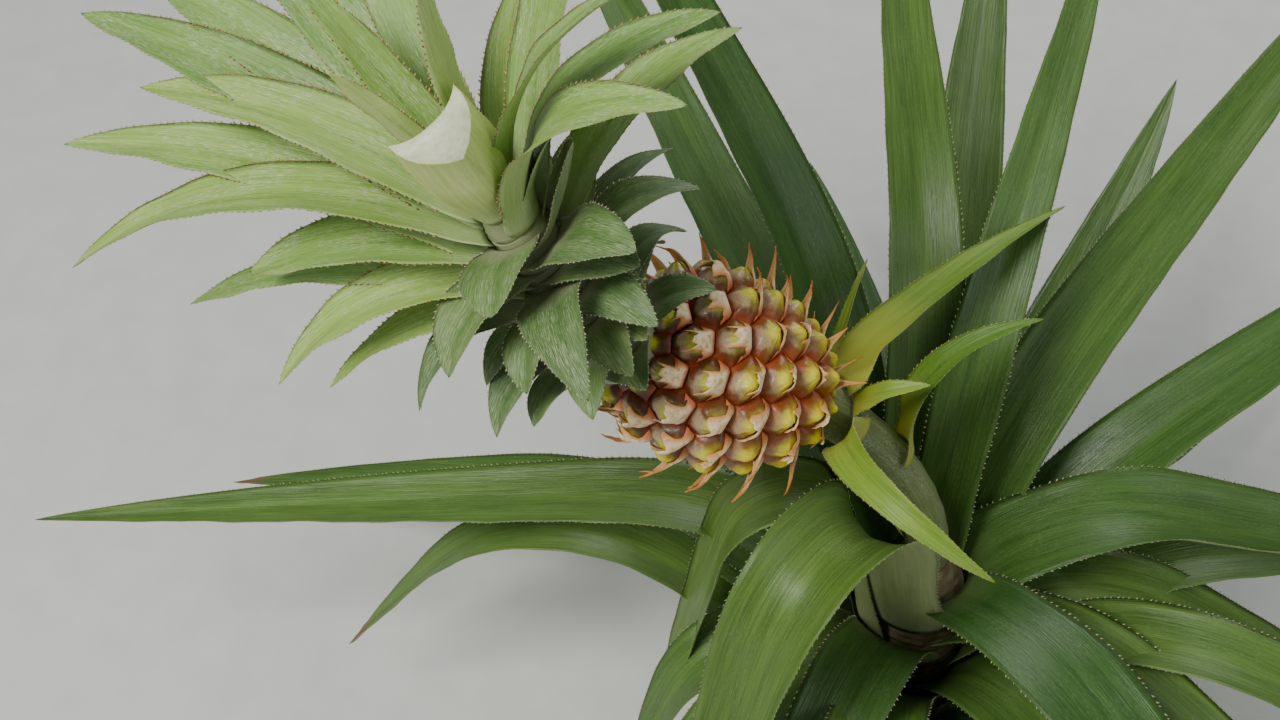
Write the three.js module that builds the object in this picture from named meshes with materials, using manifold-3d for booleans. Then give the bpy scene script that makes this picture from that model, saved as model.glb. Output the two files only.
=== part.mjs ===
// A fruiting pineapple plant: a short stem with a spiral rosette of strap leaves, a bent fruit stalk
// with its bracts, a leaning fruit of fused eyes, and the leafy crown on top of it.
// Millimetres, +Z up. The origin is the centre of the flat cut under the stem, at ground level.
import * as THREE from "three";
import { mergeVertices } from "three/addons/utils/BufferGeometryUtils.js";
import Module from "manifold-3d";

const wasm = await Module();
wasm.setup();

// Spiral order of every leaf, bract and eye
const goldenAngle = 137.508;
const clearance = 0.3;
const finestEdge = 0.02;

// Stem, as [radius, height]
const stemHeight = 222;
const stemProfile = [[33, 0], [29, 14], [27, 50], [29, 120], [30, 180], [25, 204], [19, 216], [14, 222]];

// Fruit: where its base and axis are, and its barrel outline as [radius, height]
const fruitBase = new THREE.Vector3(-75, -5, 362.4);
const fruitAxis = new THREE.Vector3(-0.806, -0.132, 0.577).normalize();
const fruitOutline = [
  [18, 0], [23, 4], [33, 16], [40.5, 32], [45.3, 50], [47, 69], [44, 88], [35.7, 104], [28.6, 112], [24, 116],
];
const fruitTop = 116.7;
const eyeCount = 82;
const eyeSpirals = [5, 8, 13];
const eyeAngle = 137.78;
const eyeTurn = 268.6;
const eyeCrowding = 0.73;
const eyeBulge = 4.2;
const grooveDepth = 3.0;
const bractReach = 11;
const lowerEdge = 3;
const bareEyes = 6;

// Stalk between the stem and the fruit
const stalkRadius = 12.5;
const stalkRise = 62;
const stalkNeck = 34;

// Crown on top of the fruit
const crownBase = new THREE.Vector3(-173, -26, 432.5);
const crownAxis = new THREE.Vector3(-0.5, 0, 0.866).normalize();
const crownLeaves = 54;
const crownTurn = 170;
const crownTiers = [13, 12, 9, 8, 12];
const crownCoreLength = 115;
const crownSeat = 12;
const crownCore = [[0, 20], [0.8, 12.5], [1, 6]];

// Rosette
const rosetteLeaves = 33;
const rosetteTurn = -12;
const firstLeafHeight = 26;
const leafStep = 5.9;
const leafGap = 0.6;

const degrees = Math.PI / 180;

const crownPlace = new THREE.Matrix4().compose(
  crownBase,
  new THREE.Quaternion().setFromUnitVectors(new THREE.Vector3(0, 0, 1), crownAxis),
  new THREE.Vector3(1, 1, 1),
);
const fruitPlace = new THREE.Matrix4().compose(
  fruitBase,
  new THREE.Quaternion().setFromUnitVectors(new THREE.Vector3(0, 0, 1), fruitAxis),
  new THREE.Vector3(1, 1, 1),
);

function smoothStep(low, high, value) {
  const t = Math.min(1, Math.max(0, (value - low) / (high - low)));
  return t * t * (3 - 2 * t);
}

// A value read off [share, value] pairs with straight lines between them.
function ramp(keys, share) {
  for (let k = 1; k < keys.length; k++) {
    const [x0, y0] = keys[k - 1];
    const [x1, y1] = keys[k];
    if (share <= x1) return y0 + ((y1 - y0) * Math.max(0, share - x0)) / (x1 - x0);
  }
  return keys[keys.length - 1][1];
}

// A repeatable number from -1 to 1 for each leaf, so that no two leaves are alike.
function vary(index, salt) {
  const wave = Math.sin(index * 12.9898 + salt * 78.233) * 43758.5453;
  return 2 * (wave - Math.floor(wave)) - 1;
}

// Triangles of rings laid one after the other, each ring with the same number of corners.
function joinRings(positions, indices, ringStart, ringSize, ringCount) {
  for (let k = 0; k + 1 < ringCount; k++) {
    for (let j = 0; j < ringSize; j++) {
      const next = (j + 1) % ringSize;
      const a = ringStart + k * ringSize;
      const b = a + ringSize;
      indices.push(a + j, b + j, a + next, a + next, b + j, b + next);
    }
  }
}

function closedGeometry(positions, indices) {
  return new THREE.BufferGeometry()
    .setAttribute("position", new THREE.Float32BufferAttribute(positions, 3))
    .setIndex(indices);
}

// The blade's centre line leaves its stem at lean[0] degrees from the stem's axis and ends at lean[1].
// The turn from one to the other is centred on knee, a share of the length, and spread over kneeSpan.
function bladeLine(blade, steps = 60) {
  const line = [];
  const point = new THREE.Vector3(
    blade.baseRadius * Math.cos(blade.azimuth * degrees),
    blade.baseRadius * Math.sin(blade.azimuth * degrees),
    blade.baseHeight,
  );
  for (let k = 0; k <= steps; k++) {
    const u = k / steps;
    const turn = smoothStep(blade.knee - blade.kneeSpan, blade.knee + blade.kneeSpan, u);
    const lean = (blade.lean[0] + (blade.lean[1] - blade.lean[0]) * turn) * degrees;
    const heading = (blade.azimuth + blade.swing * u * u) * degrees;
    const outward = new THREE.Vector3(Math.cos(heading), Math.sin(heading), 0);
    const tangent = outward.clone().multiplyScalar(Math.sin(lean));
    tangent.z = Math.cos(lean);
    line.push({ u, lean, heading, tangent, point: point.clone() });
    point.addScaledVector(tangent, blade.length / steps);
  }
  return line;
}

function lineAt(line, u) {
  const place = Math.min(u, 0.99999) * (line.length - 1);
  const k = Math.floor(place);
  const [a, b] = [line[k], line[k + 1]];
  const f = place - k;
  return {
    point: a.point.clone().lerp(b.point, f),
    tangent: a.tangent.clone().lerp(b.tangent, f).normalize(),
    lean: a.lean + (b.lean - a.lean) * f,
    heading: a.heading + (b.heading - a.heading) * f,
  };
}

// Half the blade's width: a clasping foot, a slight neck, then a long taper to the tip.
function halfWidth(blade, u) {
  const taper = Math.pow(1 - Math.pow(u, blade.fullness), 0.85);
  const foot = blade.foot * Math.exp(-u / 0.045);
  const neck = 0.1 * Math.exp(-(((u - 0.13) / 0.07) ** 2));
  return (blade.width / 2) * (taper * (1 - neck) + foot);
}

// A point of the blade at share u of its length, a mm across from its middle and lift mm above its mid face.
// Near its foot the blade wraps the stem's axis, and further out it is a shallow channel.
function bladePoint(blade, line, u, across, lift, inward = 0) {
  const { point, tangent, lean, heading } = lineAt(line, u);
  const radius = Math.hypot(point.x, point.y);
  const middle = Math.atan2(point.y, point.x);
  const around = middle + across / radius;
  const wrapped = new THREE.Vector3(Math.cos(around), Math.sin(around), 0);
  const wrappedNormal = wrapped.clone().multiplyScalar(-Math.cos(lean));
  wrappedNormal.z = Math.sin(lean);
  wrapped.multiplyScalar(radius - inward).setZ(point.z).addScaledVector(wrappedNormal, lift);

  const side = new THREE.Vector3(-Math.sin(heading), Math.cos(heading), 0);
  const up = tangent.clone().cross(side).normalize();
  const roll = blade.roll * u * degrees;
  const rolledSide = side.clone().multiplyScalar(Math.cos(roll)).addScaledVector(up, Math.sin(roll));
  const rolledUp = up.clone().multiplyScalar(Math.cos(roll)).addScaledVector(side, -Math.sin(roll));
  const bend = (blade.channel * degrees) / Math.max(1, halfWidth(blade, u));
  const arc = across * bend;
  const channelled = point
    .clone()
    .addScaledVector(rolledSide, (Math.sin(arc) / bend) - lift * Math.sin(arc))
    .addScaledVector(rolledUp, (1 - Math.cos(arc)) / bend + lift * Math.cos(arc));
  return wrapped.lerp(channelled, smoothStep(blade.wrapEnd * 0.35, blade.wrapEnd, u * blade.length));
}

// A closed blade. Its section at each station has corners across the upper face from edge to edge,
// and corners across the lower face between the edges.
function bladeGeometry(blade, stations) {
  const line = bladeLine(blade);
  const upper = blade.narrow ? [-1, 0, 1] : [-1, -0.42, 0.42, 1];
  const lower = blade.narrow ? [0] : [0.42, -0.42];
  const ringSize = upper.length + lower.length;
  const last = blade.cut ?? 1;
  const rings = stations.filter((u) => u < last - 0.02);
  if (blade.cut) rings.push(last);
  if (blade.rooted) rings.unshift(-1);
  const positions = [];
  const indices = [];
  for (const station of rings) {
    const u = Math.max(0, station);
    const inward = station < 0 ? blade.rooted : 0;
    const half = halfWidth(blade, u);
    const thick = blade.thickness * (1 - 0.5 * u * u);
    const place = (share, sign) => {
      const lift = Math.abs(share) === 1 ? 0 : sign * thick * 0.5;
      positions.push(...bladePoint(blade, line, u, share * half, lift, inward).toArray());
    };
    upper.forEach((share) => place(share, 1));
    lower.forEach((share) => place(share, -1));
  }
  joinRings(positions, indices, 0, ringSize, rings.length);
  const endCap = (start, turned) => {
    const faces = blade.narrow ? [[0, 1, 3], [1, 2, 3]] : [[0, 1, 5], [1, 2, 4], [1, 4, 5], [2, 3, 4]];
    for (const [a, b, c] of faces) {
      indices.push(start + a, start + (turned ? c : b), start + (turned ? b : c));
    }
  };
  endCap(0, false);
  const lastRing = (rings.length - 1) * ringSize;
  if (blade.cut) {
    endCap(lastRing, true);
  } else {
    const tip = positions.length / 3;
    positions.push(...bladePoint(blade, line, 1, 0, 0).toArray());
    for (let j = 0; j < ringSize; j++) indices.push(lastRing + j, tip, lastRing + ((j + 1) % ringSize));
  }
  return closedGeometry(positions, indices);
}

// Geometry to a solid and back, for joining pieces into one.
function toSolid(geometry) {
  const bare = geometry.clone();
  bare.deleteAttribute("normal");
  bare.deleteAttribute("uv");
  const merged = mergeVertices(bare, 1e-4);
  return new wasm.Manifold(
    new wasm.Mesh({
      numProp: 3,
      vertProperties: merged.attributes.position.array,
      triVerts: new Uint32Array(merged.index.array),
    }),
  );
}

// The outer skin of a solid, without pockets closed in between its leaves or edges too short to matter.
function toGeometry(solid) {
  const [body] = solid.decompose().sort((a, b) => b.volume() - a.volume());
  const mesh = body.simplify(finestEdge).getMesh();
  const geometry = new THREE.BufferGeometry();
  geometry.setAttribute("position", new THREE.BufferAttribute(mesh.vertProperties, 3));
  geometry.setIndex(new THREE.BufferAttribute(mesh.triVerts, 1));
  return geometry;
}

function material(colour, roughness) {
  return new THREE.MeshStandardMaterial({ color: colour, roughness, metalness: 0 });
}
const finishes = {
  stem: material(0x8d8a62, 0.8),
  stalk: material(0x9aa05a, 0.7),
  fruit: material(0xb9a03a, 0.55),
  leaf: material(0x3f6b1f, 0.45),
  bract: material(0x9fb545, 0.5),
  crown: material(0x7f9f5c, 0.55),
};

function named(name, geometry, finish) {
  const mesh = new THREE.Mesh(geometry, finish);
  mesh.name = name;
  geometry.computeVertexNormals();
  return mesh;
}

function lathe(profile, segments) {
  const points = profile.map(([radius, height]) => new THREE.Vector2(radius, height));
  points.unshift(new THREE.Vector2(0, profile[0][1]));
  points.push(new THREE.Vector2(0, profile[profile.length - 1][1]));
  return new THREE.LatheGeometry(points, segments).rotateX(Math.PI / 2);
}

// The stem, grown by extra mm all round.
function stemSolid(extra) {
  return toSolid(lathe(stemProfile.map(([r, h]) => [r + extra, h]), 20));
}

function stem() {
  return named("stem", toGeometry(stemSolid(0)), finishes.stem);
}

// The stalk's middle line, from the stem's top to the underside of the fruit.
const stalkStart = new THREE.Vector3(0, 0, stemHeight + clearance);
const stalkEnd = fruitBase.clone().addScaledVector(fruitAxis, -clearance);
const stalkCurve = new THREE.CubicBezierCurve3(
  stalkStart,
  stalkStart.clone().add(new THREE.Vector3(0, 0, stalkRise)),
  stalkEnd.clone().addScaledVector(fruitAxis, -stalkNeck),
  stalkEnd,
);

function stalkRadiusAt(share) {
  return stalkRadius * (1 + 0.3 * smoothStep(0.75, 1, share));
}

// The stalk, grown by extra mm all round.
function stalkGeometry(extra) {
  const sides = 12;
  const steps = 12;
  const positions = [];
  const indices = [];
  for (let k = 0; k <= steps; k++) {
    const centre = stalkCurve.getPoint(k / steps);
    const tangent = stalkCurve.getTangent(k / steps);
    const side = new THREE.Vector3(0, 1, 0).cross(tangent).normalize();
    const front = tangent.clone().cross(side);
    const radius = stalkRadiusAt(k / steps) + extra;
    for (let j = 0; j < sides; j++) {
      const angle = (2 * Math.PI * j) / sides;
      const corner = centre
        .clone()
        .addScaledVector(side, radius * Math.cos(angle))
        .addScaledVector(front, radius * Math.sin(angle));
      positions.push(...corner.toArray());
    }
  }
  for (let k = 0; k < steps; k++) {
    for (let j = 0; j < sides; j++) {
      const a = k * sides + j;
      const b = k * sides + ((j + 1) % sides);
      indices.push(a, b, a + sides, b, b + sides, a + sides);
    }
  }
  const lastRing = steps * sides;
  for (let j = 1; j + 1 < sides; j++) {
    indices.push(0, j + 1, j, lastRing, lastRing + j, lastRing + j + 1);
  }
  return closedGeometry(positions, indices);
}

function stalk() {
  return named("fruit_stalk", stalkGeometry(0), finishes.stalk);
}

// The fruit's outline, read by a share of its eyes: past either end it is flat, and where the fruit is
// slimmer each eye takes a longer stretch of it.
function fruitMeridian() {
  const barrel = new THREE.SplineCurve(fruitOutline.map(([r, h]) => new THREE.Vector2(r, h)));
  const widest = Math.max(...fruitOutline.map(([r]) => r));
  const points = barrel.getSpacedPoints(240);
  const keys = [[0, 0]];
  for (let k = 1; k < points.length; k++) {
    const radius = (points[k].x + points[k - 1].x) / 2;
    const stretch = points[k].distanceTo(points[k - 1]);
    keys.push([keys[k - 1][0] + stretch * (radius / widest) ** eyeCrowding, k / (points.length - 1)]);
  }
  const total = keys[keys.length - 1][0];
  const places = keys.map(([sum, place]) => [sum / total, place]);
  const length = barrel.getLength();
  return (share) => {
    const past = Math.max(0, share - 1, -share) * length;
    const end = barrel.getPointAt(Math.min(1, Math.max(0, ramp(places, Math.max(0, share)))));
    return new THREE.Vector2(Math.max(2, end.x - past), end.y);
  };
}

// A point on the fruit at eye number i, which need not be whole, pushed out by bulge.
function eyePoint(meridian, i, bulge) {
  const share = (i + 0.5) / eyeCount;
  const step = 0.01;
  const here = meridian(share);
  const along = meridian(share + step).sub(meridian(share - step)).normalize();
  const angle = (i * eyeAngle + eyeTurn) * degrees;
  const radius = here.x + bulge * along.y;
  return new THREE.Vector3(radius * Math.cos(angle), radius * Math.sin(angle), here.y - bulge * along.x);
}

// The tip of the bract that stands on an eye's lower edge and leans toward the crown.
function bractTip(meridian, i) {
  const eye = eyePoint(meridian, i, 0);
  const out = eyePoint(meridian, i, 1).sub(eye);
  const foot = eyePoint(meridian, i - 5, 0).lerp(eye, 0.55);
  return foot.addScaledVector(out, bractReach);
}

// The fruit's skin: each eye is a six-sided dome, and the corners between eyes lie in the grooves.
function fruitSkin() {
  const meridian = fruitMeridian();
  const [small, middle, large] = eyeSpirals;
  const positions = [];
  const indices = [];
  const corners = new Map();
  const add = (p) => positions.push(p.x, p.y, p.z) / 3 - 1;
  const corner = (...eyes) => {
    const key = eyes.join();
    if (!corners.has(key)) {
      const mean = new THREE.Vector3();
      const onSkin = eyes.some((i) => i >= 0 && i < eyeCount);
      eyes.forEach((i) => mean.add(eyePoint(meridian, i, onSkin ? -grooveDepth : 0)));
      corners.set(key, add(mean.multiplyScalar(1 / 3)));
    }
    return corners.get(key);
  };
  for (let i = 0; i < eyeCount; i++) {
    const size = Math.min(1, (Math.min(i, eyeCount - 1 - i) + 6) / 16);
    const ring = [
      corner(i, i + middle, i + large),
      corner(i, i + small, i + large),
      corner(i - middle, i, i + small),
      corner(i - large, i - middle, i),
      corner(i - large, i - small, i),
      corner(i - small, i, i + middle),
    ];
    const centre = eyePoint(meridian, i, eyeBulge * size);
    const apex = add(centre);
    const shoulder = ring.map((c) => {
      const low = new THREE.Vector3().fromArray(positions, c * 3);
      const high = eyePoint(meridian, i, eyeBulge * size * 0.75).lerp(low, 0.55);
      const flat = eyePoint(meridian, i, -grooveDepth).lerp(low, 0.55);
      return add(high.addScaledVector(centre.clone().sub(flat), 0.28));
    });
    const hasBract = i >= bareEyes && i < eyeCount - bareEyes;
    for (let j = 0; j < 6; j++) {
      const next = (j + 1) % 6;
      indices.push(apex, shoulder[j], shoulder[next]);
      if (j === lowerEdge && hasBract) {
        const tip = add(bractTip(meridian, i));
        const rim = [shoulder[j], ring[j], ring[next], shoulder[next]];
        rim.forEach((c, k) => indices.push(c, rim[(k + 1) % 4], tip));
      } else {
        indices.push(shoulder[j], ring[j], ring[next], shoulder[j], ring[next], shoulder[next]);
      }
    }
  }
  closeEnds(positions, indices);
  return closedGeometry(positions, indices);
}

// Closes each open end of a skin with a fan of triangles to a point on its axis.
function closeEnds(positions, indices) {
  const edges = new Map();
  for (let k = 0; k < indices.length; k += 3) {
    for (let e = 0; e < 3; e++) {
      const a = indices[k + e];
      const b = indices[k + ((e + 1) % 3)];
      if (edges.has(b + "," + a)) edges.delete(b + "," + a);
      else edges.set(a + "," + b, [a, b]);
    }
  }
  const after = new Map([...edges.values()]);
  while (after.size) {
    const loop = [];
    let at = after.keys().next().value;
    while (after.has(at)) {
      loop.push(at);
      const next = after.get(at);
      after.delete(at);
      at = next;
    }
    const height = loop.reduce((sum, c) => sum + positions[c * 3 + 2], 0) / loop.length;
    const pole = positions.push(0, 0, height) / 3 - 1;
    loop.forEach((c, j) => indices.push(loop[(j + 1) % loop.length], c, pole));
  }
}

function fruit() {
  const mesh = named("fruit", fruitSkin(), finishes.fruit);
  mesh.applyMatrix4(fruitPlace);
  return mesh;
}

// Rosette: what changes from the oldest leaf, at 0, to the youngest, at 1.
const rosetteLength = [[0, 360], [0.15, 440], [0.4, 560], [0.7, 600], [0.9, 470], [1, 340]];
const rosetteWidth = [[0, 44], [0.3, 54], [0.7, 58], [1, 44]];
const footLean = [[0, 48], [0.25, 32], [0.5, 20], [0.75, 14], [1, 12]];
const rearTipLean = [[0, 104], [0.3, 102], [0.6, 84], [0.85, 62], [1, 48]];
const frontTipLean = [[0, 104], [0.3, 114], [0.5, 120], [0.8, 120], [1, 100]];
const rearKnee = [[0, 0.3], [1, 0.42]];
const frontKnee = [[0, 0.25], [0.6, 0.22], [1, 0.18]];
const frontAzimuth = 270;

// Leaves whose habit sets them apart, by their number from the oldest.
const leafHabits = {
  4: { azimuth: 173, length: 470, lean: [38, 147], knee: 0.53, kneeSpan: 0.26, swing: 0 },
  9: { azimuth: 155, length: 540, lean: [31, 117], knee: 0.25, kneeSpan: 0.31, swing: 3 },
  11: { length: 517, lean: [28, 88], knee: 0.2, kneeSpan: 0.23, swing: 4 },
  12: { length: 300, lean: [26, 162], knee: 0.42, kneeSpan: 0.25, swing: 0 },
  14: { azimuth: 116, length: 622, lean: [24, 69], knee: 0.16, kneeSpan: 0.23, swing: -1 },
  16: { azimuth: 26, length: 520, lean: [26, 66], knee: 0.2, kneeSpan: 0.25, swing: -6 },
  17: { azimuth: 172, length: 582, lean: [20, 102], knee: 0.22, kneeSpan: 0.18, swing: 3 },
  18: { length: 400, lean: [20, 121], knee: 0.16, kneeSpan: 0.2, swing: 0 },
  19: { length: 582, lean: [19, 82], knee: 0.26, kneeSpan: 0.27, swing: -4 },
  20: { length: 380, lean: [20, 128], knee: 0.2, kneeSpan: 0.2, swing: 0 },
  21: { length: 460, lean: [18, 124], knee: 0.14, kneeSpan: 0.2, swing: 0 },
  22: { azimuth: 131, length: 605, lean: [15, 48], knee: 0.36, kneeSpan: 0.2, swing: -1 },
  23: { azimuth: 240, length: 380, lean: [18, 140], knee: 0.2, kneeSpan: 0.2, swing: 0 },
  24: { azimuth: 49, length: 552, lean: [16, 73], knee: 0.18, kneeSpan: 0.23, swing: 0 },
  25: { azimuth: 188, length: 435, lean: [11, 170], knee: 0.32, kneeSpan: 0.14, swing: 0, width: 46, fullness: 4 },
  26: { length: 400, lean: [17, 112], knee: 0.12, kneeSpan: 0.2, swing: 0 },
  27: { azimuth: 94, length: 515, lean: [14, 72], knee: 0.36, kneeSpan: 0.22, swing: -8 },
  28: { azimuth: 227, length: 465, lean: [14, 161], knee: 0.34, kneeSpan: 0.17, swing: 0, width: 72, channel: 58, foot: 0.05 },
  29: { azimuth: 5, length: 472, lean: [13, 110], knee: 0.11, kneeSpan: 0.2, swing: 0, width: 66, channel: 62 },
  30: { length: 320, lean: [13, 80], knee: 0.35, kneeSpan: 0.3, swing: 0 },
  31: { azimuth: 303, length: 441, lean: [11, 109], knee: 0.08, kneeSpan: 0.3, swing: 0, width: 62, channel: 24, foot: -0.3 },
  32: { length: 417, lean: [12, 56], knee: 0.28, kneeSpan: 0.26, swing: 2 },
};

function rosetteBlade(i) {
  const age = i / (rosetteLeaves - 1);
  const azimuth = (i * goldenAngle + rosetteTurn) % 360;
  const front = 0.5 + 0.5 * Math.cos((azimuth - frontAzimuth) * degrees);
  const mix = (rear, fore) => ramp(rear, age) * (1 - front) + ramp(fore, age) * front;
  const length = ramp(rosetteLength, age) * (1 + 0.06 * vary(i, 1));
  const blade = {
    azimuth,
    length,
    baseHeight: firstLeafHeight + leafStep * i,
    width: ramp(rosetteWidth, age) * (1 + 0.05 * vary(i, 2)),
    lean: [ramp(footLean, age), mix(rearTipLean, frontTipLean)],
    knee: mix(rearKnee, frontKnee),
    kneeSpan: 0.25,
    swing: 6 * vary(i, 3),
    roll: 8 * vary(i, 4),
    channel: 34,
    foot: 0.12,
    fullness: 2,
    wrapEnd: 130,
    ...leafHabits[i],
  };
  blade.thickness = blade.length / 100;
  blade.baseRadius = stemRadius(blade.baseHeight) + clearance + blade.thickness / 2;
  return blade;
}

function stemRadius(height) {
  return ramp(stemProfile.map(([r, h]) => [h, r]), height);
}

const leafFoot = 0.004;
const leafStations = [0.04, 0.09, 0.15, 0.22, 0.3, 0.4, 0.52, 0.66, 0.8, 0.92];

// Each foot is cut to sit on the stem. Younger leaves stand inside older ones, and where two of them
// would touch, the older one is cut back.
function rosette() {
  const group = new THREE.Group();
  const blades = Array.from({ length: rosetteLeaves }, (_, i) => rosetteBlade(i));
  const solids = blades.map((blade) => toSolid(bladeGeometry(blade, [leafFoot, ...leafStations])));
  const cutters = blades.map((blade) => toSolid(bladeGeometry(grown(blade, leafGap), [0, leafFoot, ...leafStations])));
  const stemSpace = stemSolid(clearance);
  solids.forEach((solid, i) => {
    let kept = solid.subtract(stemSpace);
    for (let j = i + 1; j < rosetteLeaves; j++) {
      if (kept.intersect(cutters[j]).volume() > 0) kept = kept.subtract(cutters[j]);
    }
    group.add(named("leaf_" + String(i + 1).padStart(2, "0"), toGeometry(kept), finishes.leaf));
  });
  return group;
}

// The same blade with extra mm of material on every side.
function grown(blade, extra) {
  return { ...blade, width: blade.width + 2 * extra, thickness: blade.thickness + 2 * extra };
}

// Crown: what changes from its lowest leaf, at 0, to its heart, at 1.
const crownLength = [[0, 36], [0.3, 44], [0.45, 60], [0.6, 110], [0.75, 180], [0.88, 190], [0.95, 150], [1, 105]];
const crownWidth = [[0, 30], [0.3, 34], [0.6, 38], [0.9, 36], [1, 18]];
const crownFootLean = [[0, 62], [0.5, 58], [0.7, 46], [0.85, 34], [0.94, 16], [1, 7]];
const crownTipLean = [[0, 128], [0.4, 135], [0.6, 115], [0.8, 75], [0.92, 42], [1, 14]];
const crownFoot = [[0, 0.15], [0.6, 0.1], [0.85, -0.35], [1, -0.5]];
const crownFullness = [[0, 1.7], [0.5, 1.9], [0.7, 3.6], [1, 3]];
const crownStations = [0, 0.12, 0.28, 0.46, 0.64, 0.83];
const shortLeaf = 60;
const shortStations = [0, 0.25, 0.55, 0.82];

// Crown leaves whose habit sets them apart, by their number from the lowest.
const crownHabits = {
  1: { azimuth: 295, length: 36, lean: [52, 102] },
  6: { azimuth: 267, length: 40, lean: [55, 127] },
  7: { azimuth: 55, length: 39, lean: [60, 150] },
  9: { azimuth: 311, length: 36, lean: [52, 92] },
  11: { azimuth: 221, length: 58, lean: [62, 138] },
  12: { azimuth: 34, length: 46, lean: [56, 148] },
  17: { azimuth: 323, length: 41, lean: [48, 101] },
  19: { azimuth: 242, length: 44, lean: [50, 150] },
  20: { azimuth: 49, length: 72, lean: [54, 129] },
  21: { azimuth: 189, length: 110, lean: [57, 109] },
  24: { azimuth: 205, length: 80, lean: [62, 137] },
  25: { azimuth: 21, length: 64, lean: [60, 140] },
  26: { azimuth: 171, length: 174, lean: [54, 95] },
  29: { azimuth: 189, length: 134, lean: [51, 119] },
  30: { azimuth: 328, length: 46, lean: [64, 112] },
  32: { azimuth: 225, length: 60, lean: [56, 140] },
  34: { azimuth: 162, length: 217, lean: [36, 76] },
  35: { azimuth: 322, length: 62, lean: [55, 108] },
  37: { azimuth: 178, length: 120, lean: [48, 92] },
  38: { azimuth: 357, length: 50, lean: [46, 38] },
  39: { azimuth: 147, length: 235, lean: [31, 77] },
  40: { azimuth: 262, length: 44, lean: [54, 114] },
  42: { azimuth: 175, length: 207, lean: [36, 102], swing: 9 },
  43: { azimuth: 334, length: 144, lean: [22, 108], swing: 6 },
  44: { azimuth: 137, length: 215, lean: [38, 71] },
  45: { azimuth: 4, length: 134, lean: [36, 106] },
  46: { azimuth: 120, length: 209, lean: [38, 69] },
  47: { azimuth: 155, length: 172, lean: [31, 78] },
  48: { azimuth: 300, length: 152, lean: [14, 52], cut: 0.5, width: 46, thickness: 9, channel: 56 },
  49: { azimuth: 347, length: 146, lean: [27, 80] },
  50: { azimuth: 97, length: 203, lean: [31, 68] },
};

function crownBlade(j) {
  const age = j / (crownLeaves - 1);
  const blade = {
    azimuth: (j * goldenAngle + crownTurn) % 360,
    length: ramp(crownLength, age) * (1 + 0.06 * vary(j, 11)),
    baseHeight: 2 + age * (crownCoreLength - 5),
    baseRadius: ramp(crownCore, age) + 1.4 + 0.5 * vary(j, 14),
    width: ramp(crownWidth, age),
    lean: [ramp(crownFootLean, age), ramp(crownTipLean, age)],
    knee: 0.5,
    kneeSpan: 0.6,
    swing: 5 * vary(j, 12),
    roll: 10 * vary(j, 13),
    channel: 28,
    foot: ramp(crownFoot, age),
    fullness: ramp(crownFullness, age),
    wrapEnd: 30,
    rooted: 5,
    narrow: true,
    ...crownHabits[j],
  };
  blade.thickness ??= Math.max(2.2, blade.length / 80);
  return blade;
}

// The space kept free for the fruit up to its highest eye, seen from the crown.
function fruitEnvelope() {
  const space = fruitOutline.map(([r, h]) => [r + eyeBulge + clearance, h]);
  const [topRadius] = space[space.length - 1];
  space.push([topRadius, fruitTop + clearance]);
  return toSolid(lathe(space, 28).applyMatrix4(fruitPlace).applyMatrix4(crownPlace.clone().invert()));
}

// One tier of crown leaves on its share of the core, each leaf grown by extra mm all round. The lowest
// tier's core goes on down to the fruit.
function crownTierSolid(k, extra) {
  const first = crownTiers.slice(0, k).reduce((sum, n) => sum + n, 0);
  const heightOf = (j) => (j / crownLeaves) * crownCoreLength;
  const low = k ? heightOf(first) : -crownSeat;
  const high = heightOf(first + crownTiers[k]) - clearance;
  const ends = [low, high].map((h) => [ramp(crownCore, h / crownCoreLength) + extra, h]);
  let solid = toSolid(lathe(ends, 12));
  for (let j = first; j < first + crownTiers[k]; j++) {
    const blade = grown(crownBlade(j), extra);
    const stations = blade.length < shortLeaf ? shortStations : crownStations;
    solid = solid.add(toSolid(bladeGeometry(blade, stations)));
  }
  return solid;
}

// Each tier is cut back where a leaf of a higher tier, or the fruit, would touch it.
function crown() {
  const group = new THREE.Group();
  const fruitSpace = fruitEnvelope();
  const grownTiers = crownTiers.map((count, k) => crownTierSolid(k, clearance));
  crownTiers.forEach((count, k) => {
    let solid = crownTierSolid(k, 0).subtract(fruitSpace);
    for (let above = k + 1; above < crownTiers.length; above++) {
      solid = solid.subtract(grownTiers[above]);
    }
    group.add(named("crown_tier_" + (k + 1), toGeometry(solid), finishes.crown));
  });
  group.applyMatrix4(crownPlace);
  return group;
}

// Bracts up the stalk: where each sits along it, and its habit.
const stalkBracts = [
  { place: 0.18, azimuth: 150, length: 130, width: 30, lean: [14, 50] },
  { place: 0.54, azimuth: 7, length: 119, width: 30, lean: [22, 113] },
  { place: 0.88, azimuth: 352, length: 42, width: 16, lean: [89, 126] },
  { place: 0.78, azimuth: 295, length: 165, width: 26, lean: [26, 172], swing: 11 },
  { place: 0.93, azimuth: 46, length: 168, width: 40, lean: [118, 131], foot: -0.2 },
  { place: 0.9, azimuth: 78, length: 90, width: 13, lean: [101, 110] },
];

// Close together at the foot, where the bract turns from clasping the stalk to a channel.
const bractStations = [0, 0.04, 0.08, 0.12, 0.2, 0.32, 0.48, 0.65, 0.83];

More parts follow.
